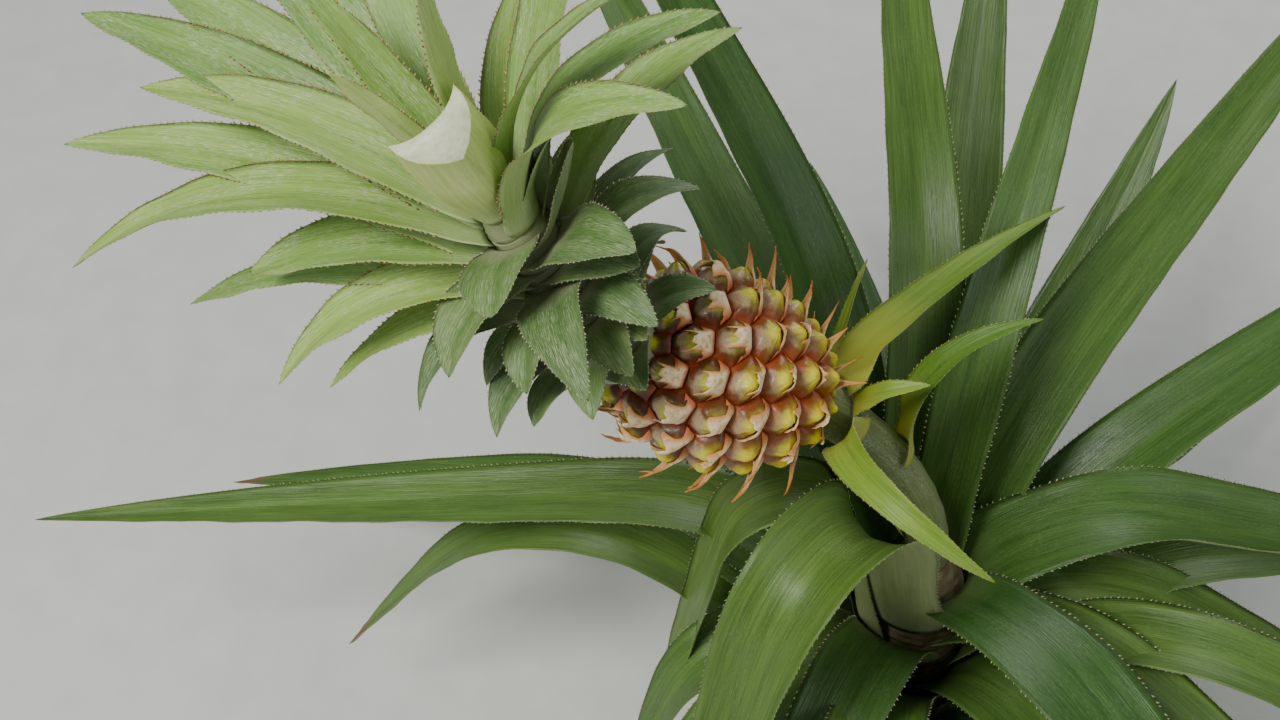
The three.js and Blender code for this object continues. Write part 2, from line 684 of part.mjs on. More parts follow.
// Each bract's foot is cut to sit on the stalk.
function bracts() {
  const group = new THREE.Group();
  const stalkSpace = toSolid(stalkGeometry(clearance));
  stalkBracts.forEach((habit, k) => {
    const blade = {
      baseHeight: 0,
      baseRadius: stalkRadiusAt(habit.place) + 1.2,
      knee: 0.5,
      kneeSpan: 0.6,
      swing: 0,
      roll: 0,
      channel: 40,
      foot: 0.1,
      fullness: 1.6,
      wrapEnd: 24,
      thickness: 2.4,
      narrow: true,
      ...habit,
    };
    const place = new THREE.Matrix4().compose(
      stalkCurve.getPoint(habit.place),
      new THREE.Quaternion().setFromUnitVectors(new THREE.Vector3(0, 0, 1), stalkCurve.getTangent(habit.place)),
      new THREE.Vector3(1, 1, 1),
    );
    const solid = toSolid(bladeGeometry(blade, bractStations).applyMatrix4(place)).subtract(stalkSpace);
    const mesh = named("stalk_bract_" + (k + 1), toGeometry(solid), finishes.bract);
    group.add(mesh);
  });
  return group;
}

const plant = new THREE.Group();
plant.add(stem(), stalk(), fruit(), rosette(), crown(), bracts());

export default plant;
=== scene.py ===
# A fruiting pineapple plant in a pale studio: fine leaves with toothed margins, a fruit of bulging eyes
# under papery bracts, and the leafy crown, made around the plant's plain solids.
import math
from types import SimpleNamespace

import bpy
import numpy as np
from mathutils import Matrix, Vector


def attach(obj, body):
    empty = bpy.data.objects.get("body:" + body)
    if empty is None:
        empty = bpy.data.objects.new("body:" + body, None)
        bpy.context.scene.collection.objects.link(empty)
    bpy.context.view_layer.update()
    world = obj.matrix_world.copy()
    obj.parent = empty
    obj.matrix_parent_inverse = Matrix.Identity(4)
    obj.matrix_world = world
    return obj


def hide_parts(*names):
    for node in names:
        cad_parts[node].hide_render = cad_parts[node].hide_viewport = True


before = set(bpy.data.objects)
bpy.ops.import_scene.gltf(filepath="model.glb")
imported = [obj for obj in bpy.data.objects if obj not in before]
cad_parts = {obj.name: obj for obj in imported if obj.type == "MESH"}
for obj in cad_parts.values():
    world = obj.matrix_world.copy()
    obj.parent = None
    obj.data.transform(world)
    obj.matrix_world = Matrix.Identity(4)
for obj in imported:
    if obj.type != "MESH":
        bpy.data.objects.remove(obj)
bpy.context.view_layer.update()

# The plant's lengths are millimetres and its angles are degrees. The origin is the stem's foot.
MILLIMETRE = 0.001
GOLDEN_ANGLE = 137.508
FULL_TURN = 2 * math.pi
CLEARANCE = 0.3

# Patterns on a surface are laid out in decimetres.
PATTERN_SCALE = 0.01

# Camera: where it stands, how far it looks down, and how wide it sees
CAMERA_PLACE = (-162.3, -586.2, 1041.5)
CAMERA_PITCH = 48
CAMERA_VIEW_WIDTH = 40.02

# Stem, as (radius, height)
STEM_TOP = 222.3
STEM_PROFILE = [(33, 0), (29, 14), (27, 50), (29, 120), (30, 180), (25, 204), (19, 216), (14, 222)]

# Fruit, with its outline as (radius, height) from its base
FRUIT_BASE = np.array([-75.0, -5.0, 362.4])
FRUIT_AXIS = np.array([-0.806, -0.132, 0.577])
FRUIT_OUTLINE = [
    (18, 0), (23, 4), (33, 16), (40.5, 32), (45.3, 50),
    (47, 69), (44, 88), (35.7, 104), (28.6, 112), (24, 116),
]

# Eyes are numbered from the stalk end, EYE_ANGLE apart. The six neighbours, in turn round an eye, are these
# numbers away from it. END_EYES more at either end close the fruit's flat ends.
EYE_COUNT = 82
EYE_ANGLE = 137.78
EYE_TURN = 268.6
EYE_NEIGHBOURS = (8, 13, 5, -8, -13, -5)
EYE_CROWDING = 0.73
EYE_BULGE = 4.0
GROOVE_DEPTH = 3.6
END_EYES = 11
END_EYE_SIZE = 0.375
GROWING_EYES = 16
EYE_CUTS = 6
EYE_RINGS = 11
ROUND_WAVES = 3

# The bracts over the eyes, which are worn short where the fruit faces WORN_SIDE
FIRST_BRACT = 4
LAST_BRACT = 79
BRACT_ROWS = 10
BRACT_COLUMNS = 11
BRACT_SKIN = 0.45
BRACT_LEAN = 16
BRACT_RISE = 17
WORN_RISE = 7
WORN_REACH = 0.68
WORN_BREADTH = 0.48
WORN_SIDE = np.array([-0.1, -0.75, 0.65])
WORN_FROM = 0.45

# Stalk: STALK_RISE and STALK_NECK are how far it runs straight on from the stem and into the fruit.
STALK_RADIUS = 12.5
STALK_RISE = 62
STALK_NECK = 34
STALK_RINGS = 90
STALK_SIDES = 40

# Crown, with its core as (share of its length, radius)
CROWN_BASE = np.array([-173.0, -26.0, 432.5])
CROWN_AXIS = np.array([-0.5, 0.0, 0.866])
CROWN_LEAVES = 54
CROWN_TURN = 170
CROWN_TIERS = (13, 12, 9, 8, 12)
CROWN_CORE_LENGTH = 115
CROWN_SEAT = 7
CROWN_CORE = [(0, 20), (0.8, 12.5), (1, 6)]

# Rosette
ROSETTE_LEAVES = 33
ROSETTE_TURN = -12
FIRST_LEAF_HEIGHT = 26
LEAF_STEP = 5.9


def unit(vector):
    return vector / np.linalg.norm(vector)


FRUIT_AXIS = unit(FRUIT_AXIS)
CROWN_AXIS = unit(CROWN_AXIS)


def lengths(vectors):
    return np.linalg.norm(vectors, axis=-1, keepdims=True)


def smooth_step(low, high, value):
    t = np.clip((value - low) / (high - low), 0, 1)
    return t * t * (3 - 2 * t)


def swell(value, middle, reach):
    """1 at the middle, falling smoothly to almost nothing at twice the reach to either side."""
    return np.exp(-(((value - middle) / reach) ** 2))


def ramp(keys, share):
    """A value read off (share, value) pairs with straight lines between them."""
    return np.interp(share, [k[0] for k in keys], [k[1] for k in keys])


def vary(index, salt):
    """A repeatable number from -1 to 1 for each index and salt, so that no two leaves or eyes are alike."""
    wave = math.sin(index * 12.9898 + salt * 78.233) * 43758.5453
    return 2 * (wave - math.floor(wave)) - 1


def placed(origin, axis):
    """The turn and shift that stand +Z along axis at origin."""
    turn = Vector((0, 0, 1)).rotation_difference(Vector(axis)).to_matrix()
    return np.array(turn), np.array(origin)


def into_place(points, place):
    turn, origin = place
    return points @ turn.T + origin


GROUND_PLACE = placed((0, 0, 0), (0, 0, 1))
CROWN_PLACE = placed(CROWN_BASE, CROWN_AXIS)
FRUIT_PLACE = placed(FRUIT_BASE, FRUIT_AXIS)


def add_object(name, data):
    made = bpy.data.objects.new(name, data)
    bpy.context.scene.collection.objects.link(made)
    return made


class Shape:
    """Points, faces, face materials and surface values of one piece, gathered block by block.

    A point's spot is its place on its own surface, where the patterns lie. Its share says how far it is along
    its blade or out from its eye's middle, and how far across. Its tone is how worn and how light it is."""

    def __init__(self):
        self.points = []
        self.faces = []
        self.slots = []
        self.layers = {"spot": [], "share": [], "tone": []}
        self.count = 0

    def add(self, points, faces, slots, spot, share, tone):
        """Adds a block. slots is the material number of every face, or one number for all."""
        start = self.count
        number = len(points)
        self.points.append(points)
        self.faces.extend([[start + c for c in face] for face in faces])
        self.slots.extend([slots] * len(faces) if isinstance(slots, int) else slots)
        for layer, values in (("spot", spot), ("share", share), ("tone", tone)):
            self.layers[layer].append(np.broadcast_to(values, (number, 2)))
        self.count += number

    def piece(self, name, materials, slot, node):
        mesh = bpy.data.meshes.new(name)
        points = np.concatenate(self.points) * MILLIMETRE
        mesh.from_pydata(points.tolist(), [], self.faces)
        mesh.polygons.foreach_set("material_index", self.slots)
        mesh.polygons.foreach_set("use_smooth", [True] * len(self.faces))
        corners = np.empty(len(mesh.loops), np.int32)
        mesh.loops.foreach_get("vertex_index", corners)
        for layer, blocks in self.layers.items():
            values = np.concatenate(blocks)[corners]
            mesh.uv_layers.new(name=layer).data.foreach_set("uv", values.astype(np.float32).ravel())
        for material in materials:
            mesh.materials.append(material)
        mesh.validate()
        mesh.update()
        piece = add_object(name, mesh)
        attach(piece, "root")
        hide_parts(node)


def ring_faces(rings, sides, first=0):
    """Faces from each ring of points to the next, where the first ring starts at point first."""
    faces = []
    for k in range(rings - 1):
        for j in range(sides):
            a = first + k * sides + j
            b = first + k * sides + (j + 1) % sides
            faces.append([a, a + sides, b + sides, b])
    return faces


def tube_faces(rings, sides):
    """Faces of a closed tube whose rings run the other way round."""
    faces = [[a, d, c, b] for a, b, c, d in ring_faces(rings, sides)]
    faces.append(list(reversed(range(sides))))
    faces.append([(rings - 1) * sides + j for j in range(sides)])
    return faces


def sheet_faces(rows, columns):
    """Faces of a closed sheet: its outer points come first, row by row, and its inner ones after them."""
    half = rows * columns
    grid = np.arange(half).reshape(rows, columns)
    faces = []
    for a in grid[:-1, :-1].ravel().tolist():
        b = a + columns
        faces.append([a, b, b + 1, a + 1])
        faces.append([half + a, half + a + 1, half + b + 1, half + b])
    border = np.concatenate([grid[0], grid[1:, -1], grid[-1, -2::-1], grid[-2:0:-1, 0]]).tolist()
    for a, b in zip(border, border[1:] + border[:1]):
        faces.append([a, b, half + b, half + a])
    return faces


def column_grid(heights, sides):
    """The height and the angle of every point on a round column, ring by ring."""
    return np.meshgrid(heights, np.linspace(0, FULL_TURN, sides, endpoint=False), indexing="ij")


def add_column(shape, heights, angles, radius, place, slot, girth, share):
    """A round column. girth is the length of one radian of its skin, for the patterns."""
    points = np.stack([radius * np.cos(angles), radius * np.sin(angles), heights], -1).reshape(-1, 3)
    spot = np.stack([heights, angles * girth], -1).reshape(-1, 2) * PATTERN_SCALE
    shape.add(into_place(points, place), tube_faces(*heights.shape), slot, spot, share, (0, 0.5))


# Blades. A blade's centre line leaves its stem at lean[0] degrees from the stem's axis and ends at lean[1].
# Everything along it goes by u, from 0 at the foot to 1 at the tip, and across it from -1 to 1.
LINE_STEPS = 60
FIRST_STATION = 0.004
TAPER_POWER = 0.85
FOOT_REACH = 0.045
NECK_DEPTH = 0.1
UNWRAP_START = 0.35
WAVE_LENGTH = 75
RAGGED_DEPTH = 0.35
LEAST_HALF_WIDTH = 0.6
SKIN_THINNING = 0.6
FLESHY_REACH = 0.06
MARGIN_POWER = 2.2
CREASE_REACH = 0.16

# A tooth's corners: how far along and out in shares of its size, then how far out and up in mm
TOOTH_CORNERS = [
    (-0.75, 0, -0.25, 0), (0.55, 0, -0.25, 0), (0, 0, -0.2, 0.22), (0, 0, -0.2, -0.22), (0.9, 1, 0, 0),
]
TOOTH_FACES = [(0, 2, 4), (2, 1, 4), (1, 3, 4), (3, 0, 4), (0, 3, 1, 2)]
TOOTH_SCATTER = 0.28
FIRST_TOOTH = 0.02
LAST_TOOTH = 0.975


def new_blade(**facts):
    """A blade with the facts given, and with the usual ones where they are left out."""
    usual = dict(
        knee=0.5, knee_span=0.6, swing=0, roll=0, fullness=2, wrap_end=30, cut=None, torn=None, keel=0,
        fleshy=1.5, tooth_start=0.03,
    )
    return SimpleNamespace(**{**usual, **facts})


def blade_line(blade):
    """The centre line: points, directions, and their lean and heading, at even steps of u."""
    start = math.radians(blade.azimuth)
    point = np.array([
        blade.base_radius * math.cos(start),
        blade.base_radius * math.sin(start),
        blade.base_height,
    ])
    u = np.linspace(0, 1, LINE_STEPS + 1)
    turn = smooth_step(blade.knee - blade.knee_span, blade.knee + blade.knee_span, u)
    lean = np.radians(blade.lean[0] + (blade.lean[1] - blade.lean[0]) * turn)
    heading = np.radians(blade.azimuth + blade.swing * u * u)
    tangent = np.stack([np.cos(heading) * np.sin(lean), np.sin(heading) * np.sin(lean), np.cos(lean)], 1)
    steps = tangent[:-1] * (blade.length / LINE_STEPS)
    points = np.vstack([point, point + np.cumsum(steps, 0)])
    return SimpleNamespace(u=u, point=points, tangent=tangent, lean=lean, heading=heading)


def line_at(line, u):
    def read(values):
        return np.stack([np.interp(u, line.u, values[:, k]) for k in range(3)], -1)

    tangent = read(line.tangent)
    tangent /= lengths(tangent)
    lean = np.interp(u, line.u, line.lean)
    heading = np.interp(u, line.u, line.heading)
    return read(line.point), tangent, lean, heading


def half_width(blade, u):
    """Half the width, with a slight neck above a foot that is wider or narrower than it."""
    taper = (1 - np.clip(u, 0, 1) ** blade.fullness) ** TAPER_POWER
    foot = blade.foot * np.exp(-u / FOOT_REACH)
    neck = NECK_DEPTH * swell(u, 0.13, 0.07)
    return blade.width / 2 * (taper * (1 - neck) + foot)


def torn_half_width(blade, u):
    """Half the width, ragged toward the tip where the blade is torn."""
    half = half_width(blade, np.minimum(u, blade.cut or 1))
    if blade.torn:
        ragged = smooth_step(blade.torn, 1, u) * RAGGED_DEPTH * np.sin(u * 310 + 3 * np.sin(u * 97))
        half = np.maximum(LEAST_HALF_WIDTH, half * (1 - np.abs(ragged)))
    return half


def wrapped_points(point, lean, across, lift):
    """Points of a blade that clasps its stem, across mm round the stem from its middle."""
    radius = np.hypot(point[..., 0], point[..., 1])
    around = np.arctan2(point[..., 1], point[..., 0]) + across / radius
    outward = np.stack([np.cos(around), np.sin(around), np.zeros_like(around)], -1)
    normal = -outward * np.cos(lean)[..., None]
    normal[..., 2] = np.sin(lean)
    wrapped = outward * radius[..., None] + normal * lift[..., None]
    wrapped[..., 2] += point[..., 2]
    return wrapped


def channelled_points(point, tangent, heading, roll, bend, across, lift):
    """Points of a free blade, whose sides bend up into a channel by bend radians for each mm across."""
    side = np.stack([-np.sin(heading), np.cos(heading), np.zeros_like(heading)], -1)
    up = np.cross(tangent, side)
    rolled_side = side * np.cos(roll)[..., None] + up * np.sin(roll)[..., None]
    rolled_up = up * np.cos(roll)[..., None] - side * np.sin(roll)[..., None]
    arc = across * bend
    sideways = np.sin(arc) / bend - lift * np.sin(arc)
    upward = (1 - np.cos(arc)) / bend + lift * np.cos(arc)
    return point + rolled_side * sideways[..., None] + rolled_up * upward[..., None]


def blade_points(blade, line, u, across, lift):
    """Points at u, across mm from the middle and lift mm above the mid face."""
    point, tangent, lean, heading = line_at(line, u)
    roll = np.radians(blade.roll) * u
    bend = math.radians(blade.channel) / np.maximum(1, half_width(blade, u))
    wrapped = wrapped_points(point, lean, across, lift)
    channelled = channelled_points(point, tangent, heading, roll, bend, across, lift)
    wrap_end = blade.wrap_end
    mix = smooth_step(wrap_end * UNWRAP_START, wrap_end, u * blade.length)[..., None]
    return wrapped * (1 - mix) + channelled * mix


def ripple(blade, u, share):
    """The slight wave of a living blade, strongest at its margins."""
    waves = blade.length / WAVE_LENGTH
    phase = blade.seed * 7
    wave = np.sin(FULL_TURN * waves * u + phase) + 0.6 * np.sin(FULL_TURN * waves * 2.3 * u - phase)
    rise = smooth_step(0.12, 0.4, u) * (1 - smooth_step(0.8, 1, u))
    return blade.wave * wave * rise * share * np.abs(share)


def blade_lift(blade, u, share, face):
    """How far the skin lies above the mid face. face is 1 on the upper face and -1 on the under face."""
    thick = blade.skin * (1 - SKIN_THINNING * u) + blade.fleshy * np.exp(-u / FLESHY_REACH)
    lift = face * 0.5 * thick * (1 - np.abs(share) ** MARGIN_POWER)
    keel = blade.keel * (1 - np.abs(share)) * smooth_step(0, 0.3, u)
    lift = lift + np.where(face < 0, -keel, 0.2 * keel)
    lift += ripple(blade, u, share)
    lift -= blade.crease * swell(share, 0, CREASE_REACH) * smooth_step(0.1, 0.3, u)
    return lift


def add_blade(shape, blade, place, stations, columns, slots):
    """One blade with its toothed margins. slots are the materials of its upper face, under face and teeth,
    and the one after its teeth's is that of its cut end."""
    upper_slot, under_slot, tooth_slot = slots
    line = blade_line(blade)
    stops = np.linspace(FIRST_STATION, blade.cut or 1, stations)
    if not blade.cut:
        stops = stops[:-1]
    upper = np.linspace(-1, 1, columns)
    lower = upper[-2:0:-1]
    u, across = np.meshgrid(stops, np.concatenate([upper, lower]), indexing="ij")
    face = np.broadcast_to(np.repeat([1.0, -1.0], [len(upper), len(lower)]), u.shape)
    half = torn_half_width(blade, u)
    points = blade_points(blade, line, u, across * half, blade_lift(blade, u, across, face)).reshape(-1, 3)
    spot = np.stack([u * blade.length, across * half], -1).reshape(-1, 2) * PATTERN_SCALE
    share = np.stack([u, np.abs(across)], -1).reshape(-1, 2)

    rings, ring = u.shape
    ring_slots = [upper_slot] * (columns - 1) + [under_slot] * (ring - columns + 1)
    face_slots = ring_slots * (rings - 1) + [under_slot]
    faces = ring_faces(rings, ring) + [list(range(ring))]
    end = (rings - 1) * ring
    if blade.cut:
        faces.append([end + j for j in reversed(range(ring))])
        face_slots.append(tooth_slot + 1)
    else:
        tip = blade_points(blade, line, np.ones(1), np.zeros(1), np.zeros(1))
        points = np.vstack([points, tip])
        spot = np.vstack([spot, [blade.length * PATTERN_SCALE, 0]])
        share = np.vstack([share, [1, 0]])
        faces.extend([end + j, end + ring, end + (j + 1) % ring] for j in range(ring))
        face_slots += ring_slots
    tone = (0, blade.tint)
    shape.add(into_place(points, place), faces, face_slots, spot, share, tone)
    for side in (-1, 1):
        add_teeth(shape, blade, line, side, place, tooth_slot, tone)


def along_margin(blade, line, u, last, side):
    """Places on one margin at u, and there the directions along it and out from it."""
    half = torn_half_width(blade, u)
    step = 0.5 * blade.tooth_spacing / blade.length
    wave = ripple(blade, u, np.full_like(u, side))
    edge = blade_points(blade, line, u, side * half, wave)
    half_ahead = torn_half_width(blade, u + step)
    ahead = blade_points(blade, line, np.minimum(u + step, last), side * half_ahead, wave)
    inner = blade_points(blade, line, u, side * half * 0.8, wave)
    along = ahead - edge
    along /= lengths(along) + 1e-9
    outward = edge - inner
    outward -= along * np.sum(outward * along, 1, keepdims=True)
    outward /= lengths(outward) + 1e-9
    return edge, along, outward


def add_teeth(shape, blade, line, side, place, slot, tone):
    """Small hooked teeth along one margin, each a closed spike that leans to the tip."""
    last = blade.cut or LAST_TOOTH
    first = max(blade.tooth_start, FIRST_TOOTH)
    number = max(3, int((last - first) * blade.length / blade.tooth_spacing))
    jitter = np.array([vary(k, 31 + side + blade.seed) for k in range(number)])
    u = first + (np.arange(number) + 0.5 + TOOTH_SCATTER * jitter) * (last - first) / number
    edge, along, outward = along_margin(blade, line, u, last, side)
    normal = np.cross(along, outward)
    size = (blade.tooth * (1 + 0.25 * jitter) * (1 - 0.45 * u))[:, None]
    corners = [
        edge + outward * (size * out + sunk) + along * size * ahead + normal * up
        for ahead, out, sunk, up in TOOTH_CORNERS
    ]
    points = np.stack(corners, 1).reshape(-1, 3)
    starts = range(0, len(points), len(corners))
    faces = [[start + c for c in face[::side]] for start in starts for face in TOOTH_FACES]
    shape.add(into_place(points, place), faces, slot, 0, 0, tone)


# Materials


class Look:
    """A material, with short calls for its nodes."""

    def __init__(self, name, roughness):
        self.material = bpy.data.materials.new(name)
        self.material.use_nodes = True
        self.tree = self.material.node_tree
        self.set("Roughness", roughness)
        self.set("Specular IOR Level", 0.4)

    def set(self, name, value):
        self.feed(self.tree.nodes["Principled BSDF"].inputs[name], value)

    def feed(self, socket, value):
        """Joins another node's output to a socket, or sets the socket."""
        if isinstance(value, bpy.types.NodeSocket):
            self.tree.links.new(value, socket)
        elif socket.type == "RGBA":
            socket.default_value = (*value, 1)
        else:
            socket.default_value = value

    def node(self, kind, inputs, output=0, **settings):
        made = self.tree.nodes.new("ShaderNode" + kind)
        for key, value in settings.items():
            setattr(made, key, value)
        for socket, value in inputs.items():
            self.feed(made.inputs[socket], value)
        return made.outputs[output]

    def layer(self, name, axis=None):
        """A surface value: both its numbers, or the one at axis."""
        both = self.node("UVMap", {}, uv_map=name)
        return both if axis is None else self.node("SeparateXYZ", {0: both}, axis)

    def solid_place(self):
        return self.node("TexCoord", {}, "Object")

    def scaled(self, vector, scale, shift=(0, 0, 0)):
        return self.node("Mapping", {"Vector": vector, "Location": shift, "Scale": scale})

    def noise(self, vector, scale, detail, roughness=0.55):
        inputs = {"Vector": vector, "Scale": scale, "Detail": detail, "Roughness": roughness}
        return self.node("TexNoise", inputs)

    def grain(self, stretch, scale, detail, roughness=0.55):
        """Noise drawn out along the surface: stretch is how often it changes along, across and through."""
        return self.noise(self.scaled(self.layer("spot"), stretch), scale, detail, roughness)

    def spread(self, value, low, high, to_low=0.0, to_high=1.0):
        inputs = {"Value": value, "From Min": low, "From Max": high, "To Min": to_low, "To Max": to_high}
        return self.node("MapRange", inputs)

    def math(self, operation, first, second=0.0):
        return self.node("Math", {0: first, 1: second}, operation=operation)

    def sum(self, first, second, first_share):
        """first_share of the first, and the rest of the second."""
        scaled_first = self.math("MULTIPLY", first, first_share)
        return self.math("ADD", scaled_first, self.math("MULTIPLY", second, 1 - first_share))

    def mix(self, factor, first, second):
        return self.node("Mix", {"Factor": factor, 6: first, 7: second}, 2, data_type="RGBA")

    def tinted(self, colour, tint, hues, values):
        """A colour whose hue and lightness go from the first of hues and values to the second with tint."""
        hue = self.spread(tint, 0, 1, *hues)
        value = self.spread(tint, 0, 1, *values)
        return self.node("HueSaturation", {"Hue": hue, "Value": value, "Color": colour})

    def colours(self, factor, stops):
        made = self.node("ValToRGB", {0: factor})
        elements = made.node.color_ramp.elements
        while len(elements) < len(stops):
            elements.new(0.5)
        for element, (position, colour) in zip(elements, stops):
            element.position = position
            element.color = (*colour, 1)
        return made

    def reach(self, vector, centre, radii):
        """How far a place on the surface is from centre, as a share of radii."""
        scale = (1 / radii[0], 1 / radii[1], 0)
        shift = (-centre[0] / radii[0], -centre[1] / radii[1], 0)
        offset = self.scaled(vector, scale, shift)
        return self.node("VectorMath", {0: offset}, "Value", operation="LENGTH")

    def finish(self, colour, height, strength, distance):
        """The material, once it has its colour and its relief."""
        inputs = {"Height": height, "Strength": strength, "Distance": distance}
        self.set("Normal", self.node("Bump", inputs))
        self.set("Base Color", colour)
        return self.material


def leaf_material(
    name, colours, scurf_share, roughness, base_reach=0.07, base_share=0.7, scurf_grain=(9, 46, 1), dry=None,
):
    """A leaf face: fine lengthwise lines, broader bands, scurf, a pale base and a thin light margin.

    Its colours are the bands' dark and light, the pale of its lines, base and margin, and the scurf. dry is
    where the dead tip starts, and its colour."""
    dark, light, pale, scurf = colours
    look = Look(name, roughness)
    along = look.layer("share", 0)
    lines = look.grain((0.7, 26, 1), 3.2, 3)
    fine = look.grain((1.6, 90, 1), 3.0, 2)
    patches = look.grain((0.5, 7, 1), 1.6, 4)
    bands = look.sum(lines, patches, 0.5)
    colour = look.mix(look.spread(bands, 0.36, 0.64), dark, light)
    colour = look.mix(look.spread(fine, 0.54, 0.72, 0, 0.28), colour, pale)
    colour = look.tinted(colour, look.layer("tone", 1), (0.515, 0.468), (0.7, 1.45))
    dots = look.grain(scurf_grain, 4.0, 2, 0.7)
    veil = look.grain((1.3, 5, 1), 2.0, 3)
    cover = look.math("MULTIPLY", look.spread(dots, 0.5, 0.62), look.spread(veil, 0.35, 0.62))
    colour = look.mix(look.math("MULTIPLY", cover, scurf_share), colour, scurf)
    colour = look.mix(look.spread(along, 0, base_reach, base_share, 0), colour, pale)
    colour = look.mix(look.spread(look.layer("share", 1), 0.93, 0.99, 0, 0.55), colour, pale)
    if dry:
        dry_start, dry_colour = dry
        wander = look.math("ADD", along, look.spread(patches, 0.3, 0.7, -0.04, 0.04))
        colour = look.mix(look.spread(wander, dry_start, dry_start + 0.05), colour, dry_colour)
    look.set("Roughness", look.spread(bands, 0.3, 0.7, roughness - 0.08, roughness + 0.12))
    return look.finish(colour, look.sum(lines, fine, 0.7), 0.5, 0.0009)


def speckled_material(name, first, second, roughness, scale):
    """A plain natural surface in two colours, mottled through and through."""
    look = Look(name, roughness)
    mottle = look.noise(look.solid_place(), scale, 4)
    colour = look.mix(look.spread(mottle, 0.35, 0.65), first, second)
    return look.finish(colour, mottle, 0.4, 0.001)


LEAF_TOP = leaf_material("leaf_top", [
    (0.026, 0.078, 0.011), (0.062, 0.15, 0.022), (0.16, 0.26, 0.08), (0.26, 0.32, 0.18),
], 0.2, 0.34)
LEAF_UNDER = leaf_material("leaf_under", [
    (0.15, 0.22, 0.08), (0.24, 0.32, 0.13), (0.36, 0.42, 0.23), (0.42, 0.46, 0.32),
], 0.5, 0.55)
LEAF_TORN = leaf_material("leaf_torn", [
    (0.03, 0.085, 0.011), (0.068, 0.16, 0.023), (0.16, 0.26, 0.08), (0.26, 0.32, 0.18),
], 0.2, 0.36, dry=(0.93, (0.19, 0.09, 0.045)))
CROWN_TOP = leaf_material("crown_top", [
    (0.12, 0.26, 0.035), (0.26, 0.42, 0.09), (0.55, 0.65, 0.34), (0.6, 0.66, 0.5),
], 0.6, 0.45, 0.22, 0.5, (6, 60, 1))
CROWN_UNDER = leaf_material("crown_under", [
    (0.24, 0.38, 0.08), (0.4, 0.53, 0.17), (0.6, 0.68, 0.4), (0.62, 0.66, 0.5),
], 0.5, 0.5, 0.15, 0.6, (6, 60, 1))
COLLAR_TOP = leaf_material("collar_top", [
    (0.05, 0.12, 0.025), (0.105, 0.2, 0.045), (0.36, 0.38, 0.22), (0.44, 0.48, 0.34),
], 0.75, 0.52, 0.35, 0.85, (4, 90, 1))
COLLAR_UNDER = leaf_material("collar_under", [
    (0.085, 0.15, 0.04), (0.17, 0.25, 0.08), (0.5, 0.45, 0.31), (0.48, 0.5, 0.4),
], 0.75, 0.6, 0.4, 0.95, (4, 90, 1))
BRACT_TOP = leaf_material("bract_top", [
    (0.075, 0.18, 0.014), (0.16, 0.29, 0.03), (0.5, 0.5, 0.055), (0.4, 0.45, 0.3),
], 0.15, 0.4, 0.4, 0.85)
BRACT_UNDER = leaf_material("bract_under", [
    (0.13, 0.23, 0.045), (0.24, 0.34, 0.09), (0.52, 0.5, 0.1), (0.5, 0.52, 0.35),
], 0.3, 0.5, 0.4, 0.85)
TOOTH = speckled_material("leaf_teeth", (0.3, 0.33, 0.14), (0.46, 0.45, 0.24), 0.5, 400)
CROWN_TOOTH = speckled_material("crown_teeth", (0.42, 0.19, 0.05), (0.56, 0.38, 0.16), 0.5, 400)
COLLAR_TOOTH = speckled_material("collar_teeth", (0.5, 0.47, 0.32), (0.65, 0.6, 0.44), 0.6, 400)
CUT_FACE = speckled_material("cut_face", (0.62, 0.68, 0.4), (0.75, 0.78, 0.58), 0.5, 300)


# Rosette: what changes from the oldest leaf, at 0, to the youngest, at 1
ROSETTE_LENGTH = [(0, 360), (0.15, 440), (0.4, 560), (0.7, 600), (0.9, 470), (1, 340)]
ROSETTE_WIDTH = [(0, 44), (0.3, 54), (0.7, 58), (1, 44)]
FOOT_LEAN = [(0, 48), (0.25, 32), (0.5, 20), (0.75, 14), (1, 12)]
REAR_TIP_LEAN = [(0, 104), (0.3, 102), (0.6, 84), (0.85, 62), (1, 48)]
FRONT_TIP_LEAN = [(0, 104), (0.3, 114), (0.5, 120), (0.8, 120), (1, 100)]
REAR_KNEE = [(0, 0.3), (1, 0.42)]
FRONT_KNEE = [(0, 0.25), (0.6, 0.22), (1, 0.18)]
FRONT_AZIMUTH = 270
LEAF_SLENDERNESS = 100
LEAF_STATIONS = 84
LEAF_COLUMNS = 15
SHORT_COLUMNS = 13


def habit(length, lean, knee, knee_span, swing=0, **more):
    return dict(length=length, lean=lean, knee=knee, knee_span=knee_span, swing=swing, **more)


